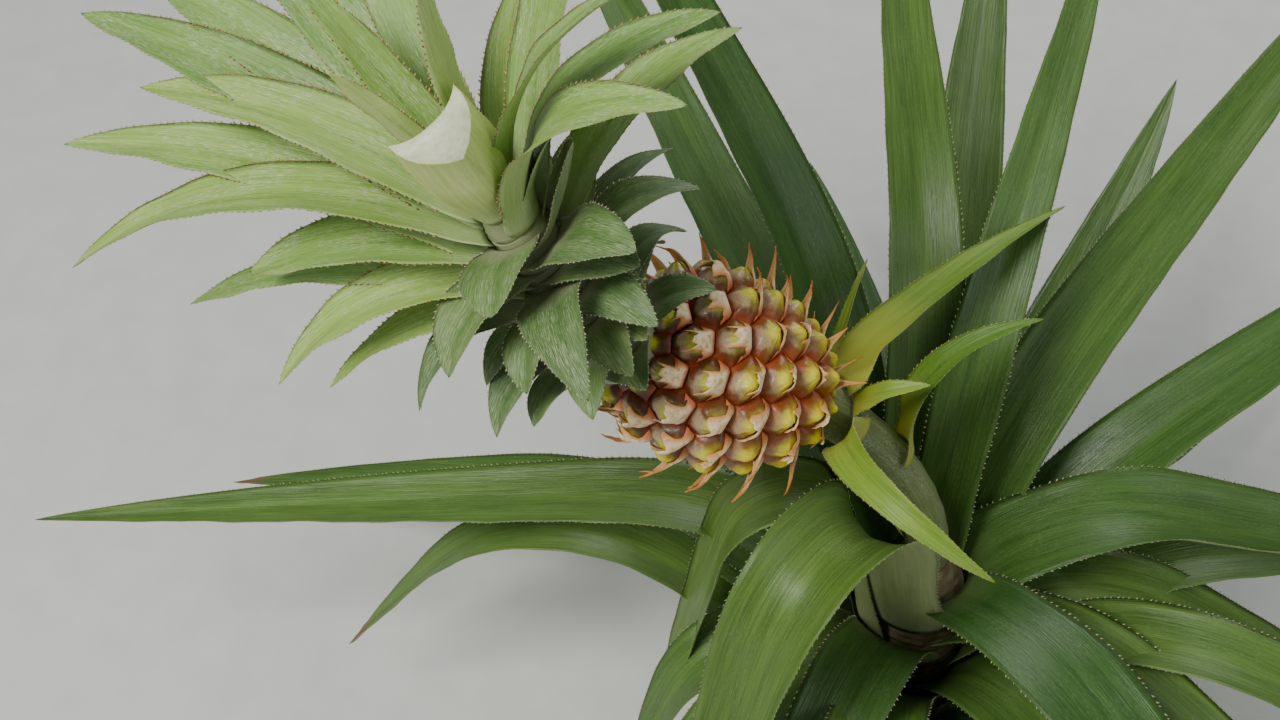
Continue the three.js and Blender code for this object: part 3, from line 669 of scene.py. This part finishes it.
# The leaves that show plainly, by number from the oldest, each with its own habit
LEAF_HABITS = {
    4: habit(470, (38, 147), 0.53, 0.26, azimuth=173),
    9: habit(540, (31, 117), 0.25, 0.31, 3, azimuth=155),
    11: habit(517, (28, 88), 0.2, 0.23, 4),
    12: habit(300, (26, 162), 0.42, 0.25),
    14: habit(622, (24, 69), 0.16, 0.23, -1, azimuth=116),
    16: habit(520, (26, 66), 0.2, 0.25, -6, azimuth=26),
    17: habit(582, (20, 102), 0.22, 0.18, 3, azimuth=172),
    18: habit(400, (20, 121), 0.16, 0.2),
    19: habit(582, (19, 82), 0.26, 0.27, -4),
    20: habit(380, (20, 128), 0.2, 0.2),
    21: habit(460, (18, 124), 0.14, 0.2),
    22: habit(605, (15, 48), 0.36, 0.2, -1, azimuth=131),
    23: habit(380, (18, 140), 0.2, 0.2, azimuth=240),
    24: habit(552, (16, 73), 0.18, 0.23, azimuth=49),
    25: habit(435, (11, 170), 0.32, 0.14, azimuth=188, width=46, fullness=4, tint=0.9),
    26: habit(400, (17, 112), 0.12, 0.2),
    27: habit(515, (14, 72), 0.36, 0.22, -8, azimuth=94),
    28: habit(465, (14, 161), 0.34, 0.17, azimuth=227, width=72, channel=58, foot=0.05, tint=0.85),
    29: habit(472, (13, 110), 0.11, 0.2, azimuth=5, width=66, channel=62, tint=0.45),
    30: habit(320, (13, 80), 0.35, 0.3),
    # Leaf 31's low tint of 0.15 is painted shade: it darkens the leaf at the front right, where the leaves
    # lie in shade.
    31: habit(441, (11, 109), 0.08, 0.3, azimuth=303, width=62, channel=24, foot=-0.3, tint=0.15),
    32: habit(417, (12, 56), 0.28, 0.26, 2),
}
TORN_LEAVES = {4: 0.9, 9: 0.93}


def rosette_blade(i):
    age = i / (ROSETTE_LEAVES - 1)
    azimuth = (i * GOLDEN_ANGLE + ROSETTE_TURN) % 360
    front = 0.5 + 0.5 * math.cos(math.radians(azimuth - FRONT_AZIMUTH))

    def mix(rear, fore):
        return ramp(rear, age) * (1 - front) + ramp(fore, age) * front

    blade = new_blade(
        azimuth=azimuth,
        length=ramp(ROSETTE_LENGTH, age) * (1 + 0.06 * vary(i, 1)),
        base_height=FIRST_LEAF_HEIGHT + LEAF_STEP * i,
        width=ramp(ROSETTE_WIDTH, age) * (1 + 0.05 * vary(i, 2)),
        lean=(ramp(FOOT_LEAN, age), mix(REAR_TIP_LEAN, FRONT_TIP_LEAN)),
        knee=mix(REAR_KNEE, FRONT_KNEE),
        knee_span=0.25, swing=6 * vary(i, 3), roll=8 * vary(i, 4),
        channel=34, foot=0.12, wrap_end=130, skin=2.0, fleshy=2.5, wave=0.35, crease=1.2,
        tooth=1.3, tooth_spacing=3.6,
        seed=vary(i, 5), tint=0.5 + 0.35 * vary(i, 6), torn=TORN_LEAVES.get(i),
    )
    vars(blade).update(LEAF_HABITS.get(i, {}))
    stem_radius = ramp([(h, r) for r, h in STEM_PROFILE], blade.base_height)
    blade.base_radius = stem_radius + CLEARANCE + blade.length / LEAF_SLENDERNESS / 2
    return blade


def build_rosette():
    for i in range(ROSETTE_LEAVES):
        shape = Shape()
        blade = rosette_blade(i)
        add_blade(shape, blade, GROUND_PLACE, LEAF_STATIONS, LEAF_COLUMNS, (0, 1, 2))
        top = LEAF_TORN if blade.torn else LEAF_TOP
        name = "leaf_%02d" % (i + 1)
        shape.piece(name + "_blade", [top, LEAF_UNDER, TOOTH], "leaf", name)


# Crown: what changes from its lowest leaf, at 0, to its heart, at 1
CROWN_LENGTH = [(0, 36), (0.3, 44), (0.45, 60), (0.6, 110), (0.75, 180), (0.88, 190), (0.95, 150), (1, 105)]
CROWN_WIDTH = [(0, 30), (0.3, 34), (0.6, 38), (0.9, 36), (1, 18)]
CROWN_FOOT_LEAN = [(0, 62), (0.5, 58), (0.7, 46), (0.85, 34), (0.94, 16), (1, 7)]
CROWN_TIP_LEAN = [(0, 128), (0.4, 135), (0.6, 115), (0.8, 75), (0.92, 42), (1, 14)]
CROWN_FOOT = [(0, 0.15), (0.6, 0.1), (0.85, -0.35), (1, -0.5)]
CROWN_FULLNESS = [(0, 1.7), (0.5, 1.9), (0.7, 3.6), (1, 3)]

# Leaves shorter than COLLAR_LENGTH make the scurfy collar. Each kind has its materials and its tooth size
# and spacing.
COLLAR_LENGTH = 90
CROWN_MATERIALS = [CROWN_TOP, CROWN_UNDER, CROWN_TOOTH, CUT_FACE, COLLAR_TOP, COLLAR_UNDER, COLLAR_TOOTH]
CROWN_SLOTS = (0, 1, 2)
COLLAR_SLOTS = (4, 5, 6)
CROWN_TEETH = (1.5, 3.2)
COLLAR_TEETH = (1.1, 2.4)


# The crown leaves that show plainly, by number from the lowest: azimuth, length, and lean at foot and tip
CROWN_HABITS = {
    1: (295, 36, 52, 102), 6: (267, 40, 55, 127), 7: (55, 39, 60, 150), 9: (311, 36, 52, 92),
    11: (221, 58, 62, 138), 12: (34, 46, 56, 148), 17: (323, 41, 48, 101), 19: (242, 44, 50, 150),
    20: (49, 72, 54, 129), 21: (189, 110, 57, 109), 24: (205, 80, 62, 137), 25: (21, 64, 60, 140),
    26: (171, 174, 54, 95), 29: (189, 134, 51, 119), 30: (328, 46, 64, 112), 32: (225, 60, 56, 140),
    34: (162, 217, 36, 76), 35: (322, 62, 55, 108), 37: (178, 120, 48, 92), 38: (357, 50, 46, 38),
    39: (147, 235, 31, 77), 40: (262, 44, 54, 114), 42: (175, 207, 36, 102), 43: (334, 144, 22, 108),
    44: (137, 215, 38, 71), 45: (4, 134, 36, 106), 46: (120, 209, 38, 69), 47: (155, 172, 31, 78),
    48: (300, 152, 14, 52), 49: (347, 146, 27, 80), 50: (97, 203, 31, 68),
}
CROWN_SWINGS = {42: 9, 43: 6}
CUT_LEAF = 48
CUT_HABIT = dict(cut=0.5, width=46, channel=56, keel=15, skin=3, tint=0.95)


def crown_blade(j):
    age = j / (CROWN_LEAVES - 1)
    blade = new_blade(
        azimuth=(j * GOLDEN_ANGLE + CROWN_TURN) % 360,
        length=ramp(CROWN_LENGTH, age) * (1 + 0.06 * vary(j, 11)),
        base_height=2 + age * (CROWN_CORE_LENGTH - 5),
        base_radius=ramp(CROWN_CORE, age) + 1.4 + 0.5 * vary(j, 14),
        channel=28, width=ramp(CROWN_WIDTH, age),
        lean=(ramp(CROWN_FOOT_LEAN, age), ramp(CROWN_TIP_LEAN, age)),
        swing=CROWN_SWINGS.get(j, 5 * vary(j, 12)), roll=10 * vary(j, 13),
        foot=ramp(CROWN_FOOT, age), fullness=ramp(CROWN_FULLNESS, age),
        skin=1.3, wave=0.7, crease=0.5, tooth_start=0.1,
        seed=vary(j, 15), tint=0.5 + 0.35 * vary(j, 16),
    )
    if j in CROWN_HABITS:
        azimuth, length, foot_lean, tip_lean = CROWN_HABITS[j]
        vars(blade).update(azimuth=azimuth, length=length, lean=(foot_lean, tip_lean))
    if j == CUT_LEAF:
        vars(blade).update(CUT_HABIT)
    blade.tooth, blade.tooth_spacing = COLLAR_TEETH if in_collar(blade) else CROWN_TEETH
    return blade


def in_collar(blade):
    return blade.length < COLLAR_LENGTH


def add_crown_core(shape, low, high):
    """The stretch of the crown's stem between two heights, ringed with the scars of its leaves."""
    heights, angles = column_grid(np.linspace(low, high, max(4, int((high - low) / 1.5))), 28)
    radius = ramp(CROWN_CORE, heights / CROWN_CORE_LENGTH) + 0.5 * np.sin(heights * 1.9 + 3 * angles)
    add_column(shape, heights, angles, radius, CROWN_PLACE, COLLAR_SLOTS[0], 20, (0.02, 0.3))


def build_crown():
    first = 0
    for k, count in enumerate(CROWN_TIERS):
        shape = Shape()
        low, high = [n / CROWN_LEAVES * CROWN_CORE_LENGTH for n in (first, first + count)]
        add_crown_core(shape, low if k else -CROWN_SEAT, high)
        for j in range(first, first + count):
            blade = crown_blade(j)
            slots = COLLAR_SLOTS if in_collar(blade) else CROWN_SLOTS
            stations = 22 + int(blade.length / 6)
            add_blade(shape, blade, CROWN_PLACE, stations, SHORT_COLUMNS, slots)
        name = "crown_tier_%d" % (k + 1)
        shape.piece(name + "_leaves", CROWN_MATERIALS, "crown_leaf", name)
        first += count


# Stalk and its bracts


def stalk_points(share):
    """Points of the stalk's centre line and its directions there, at shares of the way to the fruit."""
    start = np.array([0, 0, STEM_TOP])
    end = FRUIT_BASE - CLEARANCE * FRUIT_AXIS
    rise = start + np.array([0, 0, STALK_RISE])
    neck = end - STALK_NECK * FRUIT_AXIS
    t = np.asarray(share, float)[..., None]
    point = (1 - t) ** 3 * start + 3 * (1 - t) ** 2 * t * rise + 3 * (1 - t) * t * t * neck + t**3 * end
    slope = (1 - t) ** 2 * (rise - start) + 2 * (1 - t) * t * (neck - rise) + t * t * (end - neck)
    return point, slope / lengths(slope)


def stalk_radius(share):
    return STALK_RADIUS * (1 + 0.3 * smooth_step(0.75, 1, share))


STALK_BRACTS = [
    dict(place=0.18, azimuth=150, length=130, width=30, lean=(14, 50), tint=0.5),
    dict(place=0.54, azimuth=7, length=119, width=30, lean=(22, 113), tint=0.1),
    dict(place=0.88, azimuth=352, length=42, width=16, lean=(89, 126), tint=0.8),
    dict(place=0.78, azimuth=295, length=165, width=26, lean=(26, 172), swing=11, tint=0.6),
    dict(place=0.93, azimuth=46, length=168, width=40, lean=(118, 131), foot=-0.2, tint=0.5),
    dict(place=0.9, azimuth=78, length=90, width=13, lean=(101, 110), tint=1),
]
STALK_BRACT_STATIONS = 60


def build_stalk_bracts():
    for k, habit in enumerate(STALK_BRACTS):
        share = habit["place"]
        blade = new_blade(
            base_height=0, base_radius=stalk_radius(share) + 1.8, channel=40, foot=0.1, fullness=1.6,
            wrap_end=24, skin=1.3, fleshy=1.2, wave=0.4, crease=0.6, tooth=0.7, tooth_spacing=3.6,
            seed=vary(k, 21),
        )
        vars(blade).update(habit)
        place = placed(*stalk_points(share))
        shape = Shape()
        add_blade(shape, blade, place, STALK_BRACT_STATIONS, SHORT_COLUMNS, (0, 1, 2))
        name = "stalk_bract_%d" % (k + 1)
        shape.piece(name + "_blade", [BRACT_TOP, BRACT_UNDER, COLLAR_TOOTH], "bract", name)


def build_stalk():
    """A ribbed, slightly scaly stalk."""
    share, angles = column_grid(np.linspace(0, 1, STALK_RINGS), STALK_SIDES)
    centre, tangent = stalk_points(share[:, 0])
    side = np.cross([0, 1, 0], tangent)
    side /= lengths(side)
    front = np.cross(tangent, side)
    ribs = 0.35 * np.cos(angles * 10) + 0.3 * np.sin(share * 60 + 2 * np.sin(angles))
    radius = stalk_radius(share) - 0.4 + ribs * 0.6
    ring = np.cos(angles)[..., None] * side[:, None] + np.sin(angles)[..., None] * front[:, None]
    points = (centre[:, None] + ring * radius[..., None]).reshape(-1, 3)
    spot = np.stack([share * 170, angles * 12], -1).reshape(-1, 2) * PATTERN_SCALE
    shape = Shape()
    shape.add(points, tube_faces(*share.shape), 0, spot, (0.5, 0.3), (0, 0.5))
    skin = leaf_material("stalk_skin", [
        (0.1, 0.14, 0.04), (0.2, 0.25, 0.09), (0.33, 0.36, 0.2), (0.42, 0.44, 0.34),
    ], 0.8, 0.6)
    shape.piece("fruit_stalk_skin", [skin], "stalk", "fruit_stalk")


def build_stem():
    """The short stem, ringed with leaf scars and rough between them."""
    heights, angles = column_grid(np.concatenate([np.arange(0, 216, 1.4), [217, 219, 221, 222]]), 72)
    scar = (heights / LEAF_STEP + angles / FULL_TURN * 2) % 1
    ridge = 0.9 * swell(scar, 0.5, 0.16)
    rough = 0.35 * np.sin(angles * 23 + heights * 0.9) * np.sin(heights * 1.7 + angles * 5)
    depth = smooth_step(0, 4, heights) * smooth_step(222, 215, heights)
    radius = ramp([(h, r) for r, h in STEM_PROFILE], heights) + (ridge + rough - 1.1) * depth
    shape = Shape()
    add_column(shape, heights, angles, radius, GROUND_PLACE, 0, 29, (0.5, 0.3))
    bark = speckled_material("stem_skin", (0.12, 0.085, 0.04), (0.23, 0.2, 0.1), 0.85, 140)
    shape.piece("stem_skin", [bark], "stem", "stem")


# Fruit


def spline_points(keys, count):
    """Points along the smooth curve through keys."""
    keys = np.array(keys, float)
    last = len(keys) - 1
    place = np.linspace(0, last, count)
    k = np.minimum(place.astype(int), last)
    f = (place - k)[:, None]
    before, here = keys[np.maximum(k - 1, 0)], keys[k]
    after, beyond = keys[np.minimum(k + 1, last)], keys[np.minimum(k + 2, last)]
    leave, arrive = (after - before) / 2, (beyond - here) / 2
    cubic = (2 * here - 2 * after + leave + arrive) * f**3
    cubic = cubic + (-3 * here + 3 * after - 2 * leave - arrive) * f**2
    return cubic + leave * f + here


# The outline as a smooth curve, the way along it, and how the eyes share it out: closer where it is slimmer
MERIDIAN = spline_points(FRUIT_OUTLINE, 1200)
STRETCHES = np.linalg.norm(np.diff(MERIDIAN, axis=0), axis=1)
MERIDIAN_AT = np.concatenate([[0], np.cumsum(STRETCHES)])
FULLNESS = (MERIDIAN[1:, 0] + MERIDIAN[:-1, 0]) / 2 / max(r for r, h in FRUIT_OUTLINE)
EYE_ROOM = np.concatenate([[0], np.cumsum(STRETCHES * FULLNESS**EYE_CROWDING)])
LEAST_RADIUS = 2
SLOPE_STEP = 0.01


def meridian_point(share):
    """The fruit's outline at a share of its eyes: past either end it is flat."""
    past = max(0, share - 1, -share) * MERIDIAN_AT[-1]
    place = np.interp(share * EYE_ROOM[-1], EYE_ROOM, MERIDIAN_AT)
    radius = np.interp(place, MERIDIAN_AT, MERIDIAN[:, 0]) - past
    return max(LEAST_RADIUS, radius), np.interp(place, MERIDIAN_AT, MERIDIAN[:, 1])


def eye_point(i, bulge):
    """The middle of eye i on the fruit, pushed out by bulge."""
    share = (i + 0.5) / EYE_COUNT
    radius, height = meridian_point(share)
    low_radius, low_height = meridian_point(share - SLOPE_STEP)
    high_radius, high_height = meridian_point(share + SLOPE_STEP)
    slope = max(1e-6, math.hypot(high_radius - low_radius, high_height - low_height))
    out_radius = (high_height - low_height) / slope
    out_height = -(high_radius - low_radius) / slope
    angle = math.radians(i * EYE_ANGLE + EYE_TURN)
    r = radius + bulge * out_radius
    return np.array([r * math.cos(angle), r * math.sin(angle), height + bulge * out_height])


def along_rim(corners):
    """Values all round a rim, from those at its six corners."""
    f = (np.arange(EYE_CUTS) / EYE_CUTS)[None, :, None]
    return (corners[:, None] * (1 - f) + np.roll(corners, -1, 0)[:, None] * f).reshape(-1, 3)


class Eye:
    """One six-sided eye of the fruit: its middle, its rim in the grooves, and its own directions."""

    def __init__(self, i):
        from_end = max(0, min(i, EYE_COUNT - 1 - i))
        self.number = i
        self.size = min(1, END_EYE_SIZE + from_end / GROWING_EYES)
        self.centre = eye_point(i, 0)
        self.out = unit(eye_point(i, 1) - self.centre)
        pairs = zip(EYE_NEIGHBOURS, EYE_NEIGHBOURS[1:] + EYE_NEIGHBOURS[:1])
        trios = [sorted((i, i + a, i + b)) for a, b in pairs]
        corners = np.array([np.mean([eye_point(n, 0) for n in trio], 0) for trio in trios])
        raised = np.array([np.mean([eye_point(n, 1) for n in trio], 0) for trio in trios])
        spokes = corners - self.centre
        crownward = spokes[0] + spokes[1] - spokes[3] - spokes[4]
        self.crownward = unit(crownward - self.out * (crownward @ self.out))
        self.side = np.cross(self.out, self.crownward)
        self.corners = self.flat(spokes)
        self.rim = along_rim(spokes)
        self.leans = along_rim(raised - corners)
        waves = np.fft.rfft(self.rim, axis=0)
        waves[ROUND_WAVES:] = 0
        self.round_rim = np.fft.irfft(waves, len(self.rim), axis=0)
        self.reach = np.linalg.norm(self.flat(self.rim), axis=1)

    def flat(self, spokes):
        """Places on the eye as (toward the crown, sideways)."""
        return np.stack([spokes @ self.crownward, spokes @ self.side], -1)

    def height(self, r):
        """How far the skin stands above the fruit's outline at share r from the middle to the rim."""
        dome = (EYE_BULGE + GROOVE_DEPTH) * (1 - r**3.0) - GROOVE_DEPTH
        nub = 1.3 * swell(r, 0, 0.26) - 0.7 * swell(r, 0, 0.1)
        hollow = 0.5 * swell(r, 0.42, 0.1)
        return dome * self.size + nub - hollow

    def surface(self, places, lift):
        """Points of the fruit at flat places on this eye, lift mm above its skin."""
        rim_flat = self.flat(self.rim)
        rim_angle = np.arctan2(rim_flat[:, 1], rim_flat[:, 0])
        angle = np.arctan2(places[..., 1], places[..., 0])

        def read(values):
            return np.interp(angle, rim_angle, values, period=FULL_TURN)

        r = np.hypot(places[..., 0], places[..., 1]) / read(self.reach)
        spoke = np.stack([read(self.rim[:, k]) for k in range(3)], -1)
        lean = np.stack([read(self.leans[:, k]) for k in range(3)], -1)
        r_column = r[..., None]
        up = self.out * (1 - r_column) + lean * r_column
        rise = self.height(np.minimum(r, 1)) + lift
        return self.centre + spoke * r_column + up * rise[..., None]


def add_eye(shape, eye):
    """A domed tile with a nub in its middle. Its rim lies in the grooves round it."""
    i = eye.number
    count = len(eye.rim)
    angle = np.arange(count) / count * FULL_TURN
    radii = np.linspace(0, 1, EYE_RINGS + 1)[1:]
    points = [eye.centre + eye.out * eye.height(0.0)]
    for r in radii:
        hexagon = smooth_step(0.55, 1, r)
        spokes = eye.round_rim * (1 - hexagon) + eye.rim * hexagon
        pucker = 1 - 0.07 * np.sin(math.pi * r) * np.cos(angle * 5 + i)
        wrinkle = 0.25 * np.sin(angle * 9 + i * 2) * r * (1 - r) * 4
        lean = eye.out * (1 - r) + eye.leans * r
        points.extend(eye.centre + spokes * (r * pucker)[:, None] + lean * (eye.height(r) + wrinkle)[:, None])
    points = np.array(points)
    faces = [[0, 1 + j, 1 + (j + 1) % count] for j in range(count)]
    faces += ring_faces(EYE_RINGS, count, 1)
    spot = eye.flat(points - eye.centre) / eye.reach.mean()
    share = np.concatenate([[0], np.repeat(radii, count)])
    tone = (0, i / EYE_COUNT)
    shape.add(into_place(points, FRUIT_PLACE), faces, 0, spot, np.stack([share, share * 0], 1), tone)


FRUIT_BRACT_FACES = sheet_faces(BRACT_ROWS, BRACT_COLUMNS)


def bract_foot(eye, columns):
    """Where the bract's foot runs along the eye's stalk side, and the middle of that side."""
    c2, c3, c4, c5 = eye.corners[2:6]
    middle = (c3 + c4) / 2
    keys = np.array([c2 * 0.75 + c3 * 0.25, c3, middle, c4, c5 * 0.75 + c4 * 0.25])
    foot = np.stack([np.interp(columns, (-1, -0.5, 0, 0.5, 1), keys[:, k]) for k in range(2)], 1)
    return foot * 0.97, middle


def add_fruit_bract(shape, eye):
    """The papery bract that rises from an eye's stalk side: wide in the groove, with an arm along each edge,
    and narrowing to a spike that leans over the eye toward the crown. A worn one is broken short."""
    i = eye.number
    facing = FRUIT_PLACE[0] @ eye.out
    worn = facing @ WORN_SIDE + 0.25 * vary(i, 52) > WORN_FROM
    columns = np.linspace(-1, 1, BRACT_COLUMNS)
    foot, middle = bract_foot(eye, columns)
    if worn:
        ragged = 0.08 * np.sin(columns * 6 + i) + 0.05 * np.sin(columns * 15 + 2 * i)
        reach = WORN_REACH + 0.1 * vary(i, 53) + ragged
        narrowest = WORN_BREADTH + 0.1 * vary(i, 58)
    else:
        reach = np.ones_like(columns)
        narrowest = 0
    v = np.linspace(0, 1, BRACT_ROWS)[:, None] * reach[None]
    lean = eye.size * (BRACT_LEAN + 2.5 * vary(i, 54))
    rise = eye.size * ((WORN_RISE if worn else BRACT_RISE) + 3 * vary(i, 55))
    arms = 1.25 + 4.0 * smooth_step(0.4, 1, np.abs(columns))
    narrowing = np.maximum((1 - v) ** arms[None], narrowest)
    sway = 2.0 * vary(i, 56) * v**2
    places = (foot - middle)[None] * narrowing[..., None] + middle
    places = places + np.stack([lean * v, sway], -1)
    hug = 0.5 + 0.6 * (1 - columns**2)[None] * (1 - v)
    bead = 0.7 * swell(v, 0, 0.07)
    outer = eye.surface(places, hug + bead + rise * v**2.0)
    inner = outer - eye.out * BRACT_SKIN + eye.crownward * 0.25 * v[..., None]
    points = np.concatenate([outer.reshape(-1, 3), inner.reshape(-1, 3)])
    spot = np.tile(places.reshape(-1, 2) * PATTERN_SCALE, (2, 1))
    across = np.broadcast_to(np.abs(columns)[None], v.shape)
    share = np.tile(np.stack([v, across], -1).reshape(-1, 2), (2, 1))
    tone = (float(worn), 0)
    shape.add(into_place(points, FRUIT_PLACE), FRUIT_BRACT_FACES, 1, spot, share, tone)


def fruit_material():
    """Lime-yellow nubs on olive to yellow eyes, buff rings on their crown side, and rust in the grooves."""
    look = Look("fruit_skin", 0.38)
    spot = look.layer("spot")
    place = look.solid_place()
    blotch = look.noise(place, 170, 4)
    fine = look.noise(place, 900, 3)
    wander = look.math("ADD", look.layer("share", 0), look.spread(blotch, 0.3, 0.7, -0.1, 0.1))
    crownness = look.layer("tone", 1)
    stalk_end = look.colours(wander, [
        (0.0, (0.56, 0.46, 0.02)), (0.5, (0.42, 0.28, 0.015)), (0.7, (0.26, 0.09, 0.01)),
        (0.88, (0.34, 0.07, 0.012)), (1.0, (0.42, 0.09, 0.025)),
    ])
    crown_end = look.colours(wander, [
        (0.0, (0.3, 0.27, 0.015)), (0.5, (0.17, 0.12, 0.01)), (0.68, (0.08, 0.032, 0.006)),
        (0.86, (0.16, 0.035, 0.01)), (1.0, (0.34, 0.07, 0.022)),
    ])
    colour = look.mix(look.spread(crownness, 0.2, 0.8), stalk_end, crown_end)
    unevenness = look.spread(blotch, 0.3, 0.7, -0.3, 0.3)
    rings = look.math("SINE", look.math("MULTIPLY", look.reach(spot, (-0.1, 0), (1, 1)), 55.0))
    buff = look.mix(look.spread(rings, -1, 1, 0, 0.35), (0.56, 0.42, 0.27), (0.32, 0.25, 0.12))
    patch = look.math("ADD", look.reach(spot, (0.5, 0.05), (0.4, 0.62)), unevenness)
    patch_share = look.spread(patch, 0.55, 0.95, 0.75, 0)
    patch_share = look.math("MULTIPLY", patch_share, look.spread(crownness, 0.1, 0.7, 0.1, 0.9))
    colour = look.mix(patch_share, colour, buff)
    nub = look.math("ADD", look.reach(spot, (-0.02, 0), (0.5, 0.42)), unevenness)
    lime = look.mix(crownness, (0.74, 0.62, 0.02), (0.5, 0.54, 0.02))
    colour = look.mix(look.spread(nub, 0.5, 1.15, 0.95, 0), colour, lime)
    look.set("Roughness", look.spread(fine, 0.3, 0.7, 0.32, 0.5))
    look.set("Coat Weight", 0.12)
    look.set("Subsurface Weight", 0.06)
    look.set("Subsurface Radius", (0.006, 0.003, 0.001))
    look.set("Subsurface Scale", 1.0)
    return look.finish(colour, look.sum(blotch, fine, 0.6), 0.45, 0.0008)


def paper_material():
    """A dried bract: cream and mottled in its middle, orange at its edges and tip, rust red at its foot."""
    look = Look("fruit_bract", 0.6)
    along = look.layer("share", 0)
    mottle = look.noise(look.solid_place(), 420, 4)
    fibres = look.grain((6, 60, 1), 5, 3)
    cream = look.mix(look.spread(mottle, 0.36, 0.52), (0.62, 0.43, 0.2), (0.9, 0.73, 0.46))
    edge = look.math("ADD", look.layer("share", 1), look.spread(mottle, 0.3, 0.7, -0.15, 0.15))
    colour = look.mix(look.spread(edge, 0.6, 1.0, 0, 0.9), cream, (0.78, 0.27, 0.05))
    tip_share = look.spread(look.layer("tone", 0), 0, 1, 0.9, 0.15)
    tip = look.math("MULTIPLY", look.spread(along, 0.3, 0.75), tip_share)
    colour = look.mix(tip, colour, (0.76, 0.29, 0.05))
    colour = look.mix(look.spread(along, 0.02, 0.15, 0.9, 0), colour, (0.66, 0.19, 0.06))
    return look.finish(colour, look.sum(mottle, fibres, 0.5), 0.6, 0.0008)


def build_fruit():
    shape = Shape()
    for i in range(-END_EYES, EYE_COUNT + END_EYES):
        eye = Eye(i)
        add_eye(shape, eye)
        if FIRST_BRACT <= i <= LAST_BRACT:
            add_fruit_bract(shape, eye)
    shape.piece("fruit_skin", [fruit_material(), paper_material()], "fruit", "fruit")


# Studio, in metres: each light has its place, what it shines at, its size, power and colour.
LIGHTS = {
    "key": ((-1.3, -1.0, 2.3), (-0.1, 0, 0.3), 1.0, 64, (1.0, 0.98, 0.93)),
    "fill": ((1.6, -1.4, 1.6), (0, 0, 0.3), 1.6, 13, (0.95, 0.98, 1.0)),
    "rim": ((0.6, 2.0, 1.7), (0, 0, 0.3), 1.2, 20, (1.0, 1.0, 0.97)),
}
SKY_COLOUR = (0.85, 0.9, 0.95, 1)
SKY_STRENGTH = 0.3
FLOOR_REACH = 30.0
FLOOR_HEIGHT = -0.001


def build_floor():
    mesh = bpy.data.meshes.new("floor")
    signs = [(-1, -1), (1, -1), (1, 1), (-1, 1)]
    corners = [(x * FLOOR_REACH, y * FLOOR_REACH, FLOOR_HEIGHT) for x, y in signs]
    mesh.from_pydata(corners, [], [(0, 1, 2, 3)])
    floor = add_object("floor", mesh)
    look = Look("floor", 0.85)
    grain = look.noise(look.solid_place(), 30, 2)
    colour = look.mix(look.spread(grain, 0.3, 0.7), (0.6, 0.6, 0.58), (0.64, 0.64, 0.62))
    look.set("Base Color", colour)
    mesh.materials.append(look.material)


def build_camera():
    data = bpy.data.cameras.new("camera")
    data.sensor_fit = "HORIZONTAL"
    data.angle = math.radians(CAMERA_VIEW_WIDTH)
    data.clip_start = 0.01
    camera = add_object("camera", data)
    camera.location = Vector(CAMERA_PLACE) * MILLIMETRE
    camera.rotation_euler = (math.radians(90 - CAMERA_PITCH), 0, 0)
    bpy.context.scene.camera = camera


def build_lights():
    for name, (place, target, size, power, colour) in LIGHTS.items():
        data = bpy.data.lights.new(name, "AREA")
        data.shape = "DISK"
        data.size = size
        data.energy = power
        data.color = colour
        light = add_object(name, data)
        light.location = place
        aim = Vector(target) - Vector(place)
        light.rotation_euler = aim.to_track_quat("-Z", "Y").to_euler()
    world = bpy.data.worlds.new("studio")
    world.use_nodes = True
    background = world.node_tree.nodes["Background"]
    background.inputs["Color"].default_value = SKY_COLOUR
    background.inputs["Strength"].default_value = SKY_STRENGTH
    bpy.context.scene.world = world


build_camera()
build_lights()
build_floor()
build_stem()
build_stalk()
build_fruit()
build_rosette()
build_crown()
build_stalk_bracts()
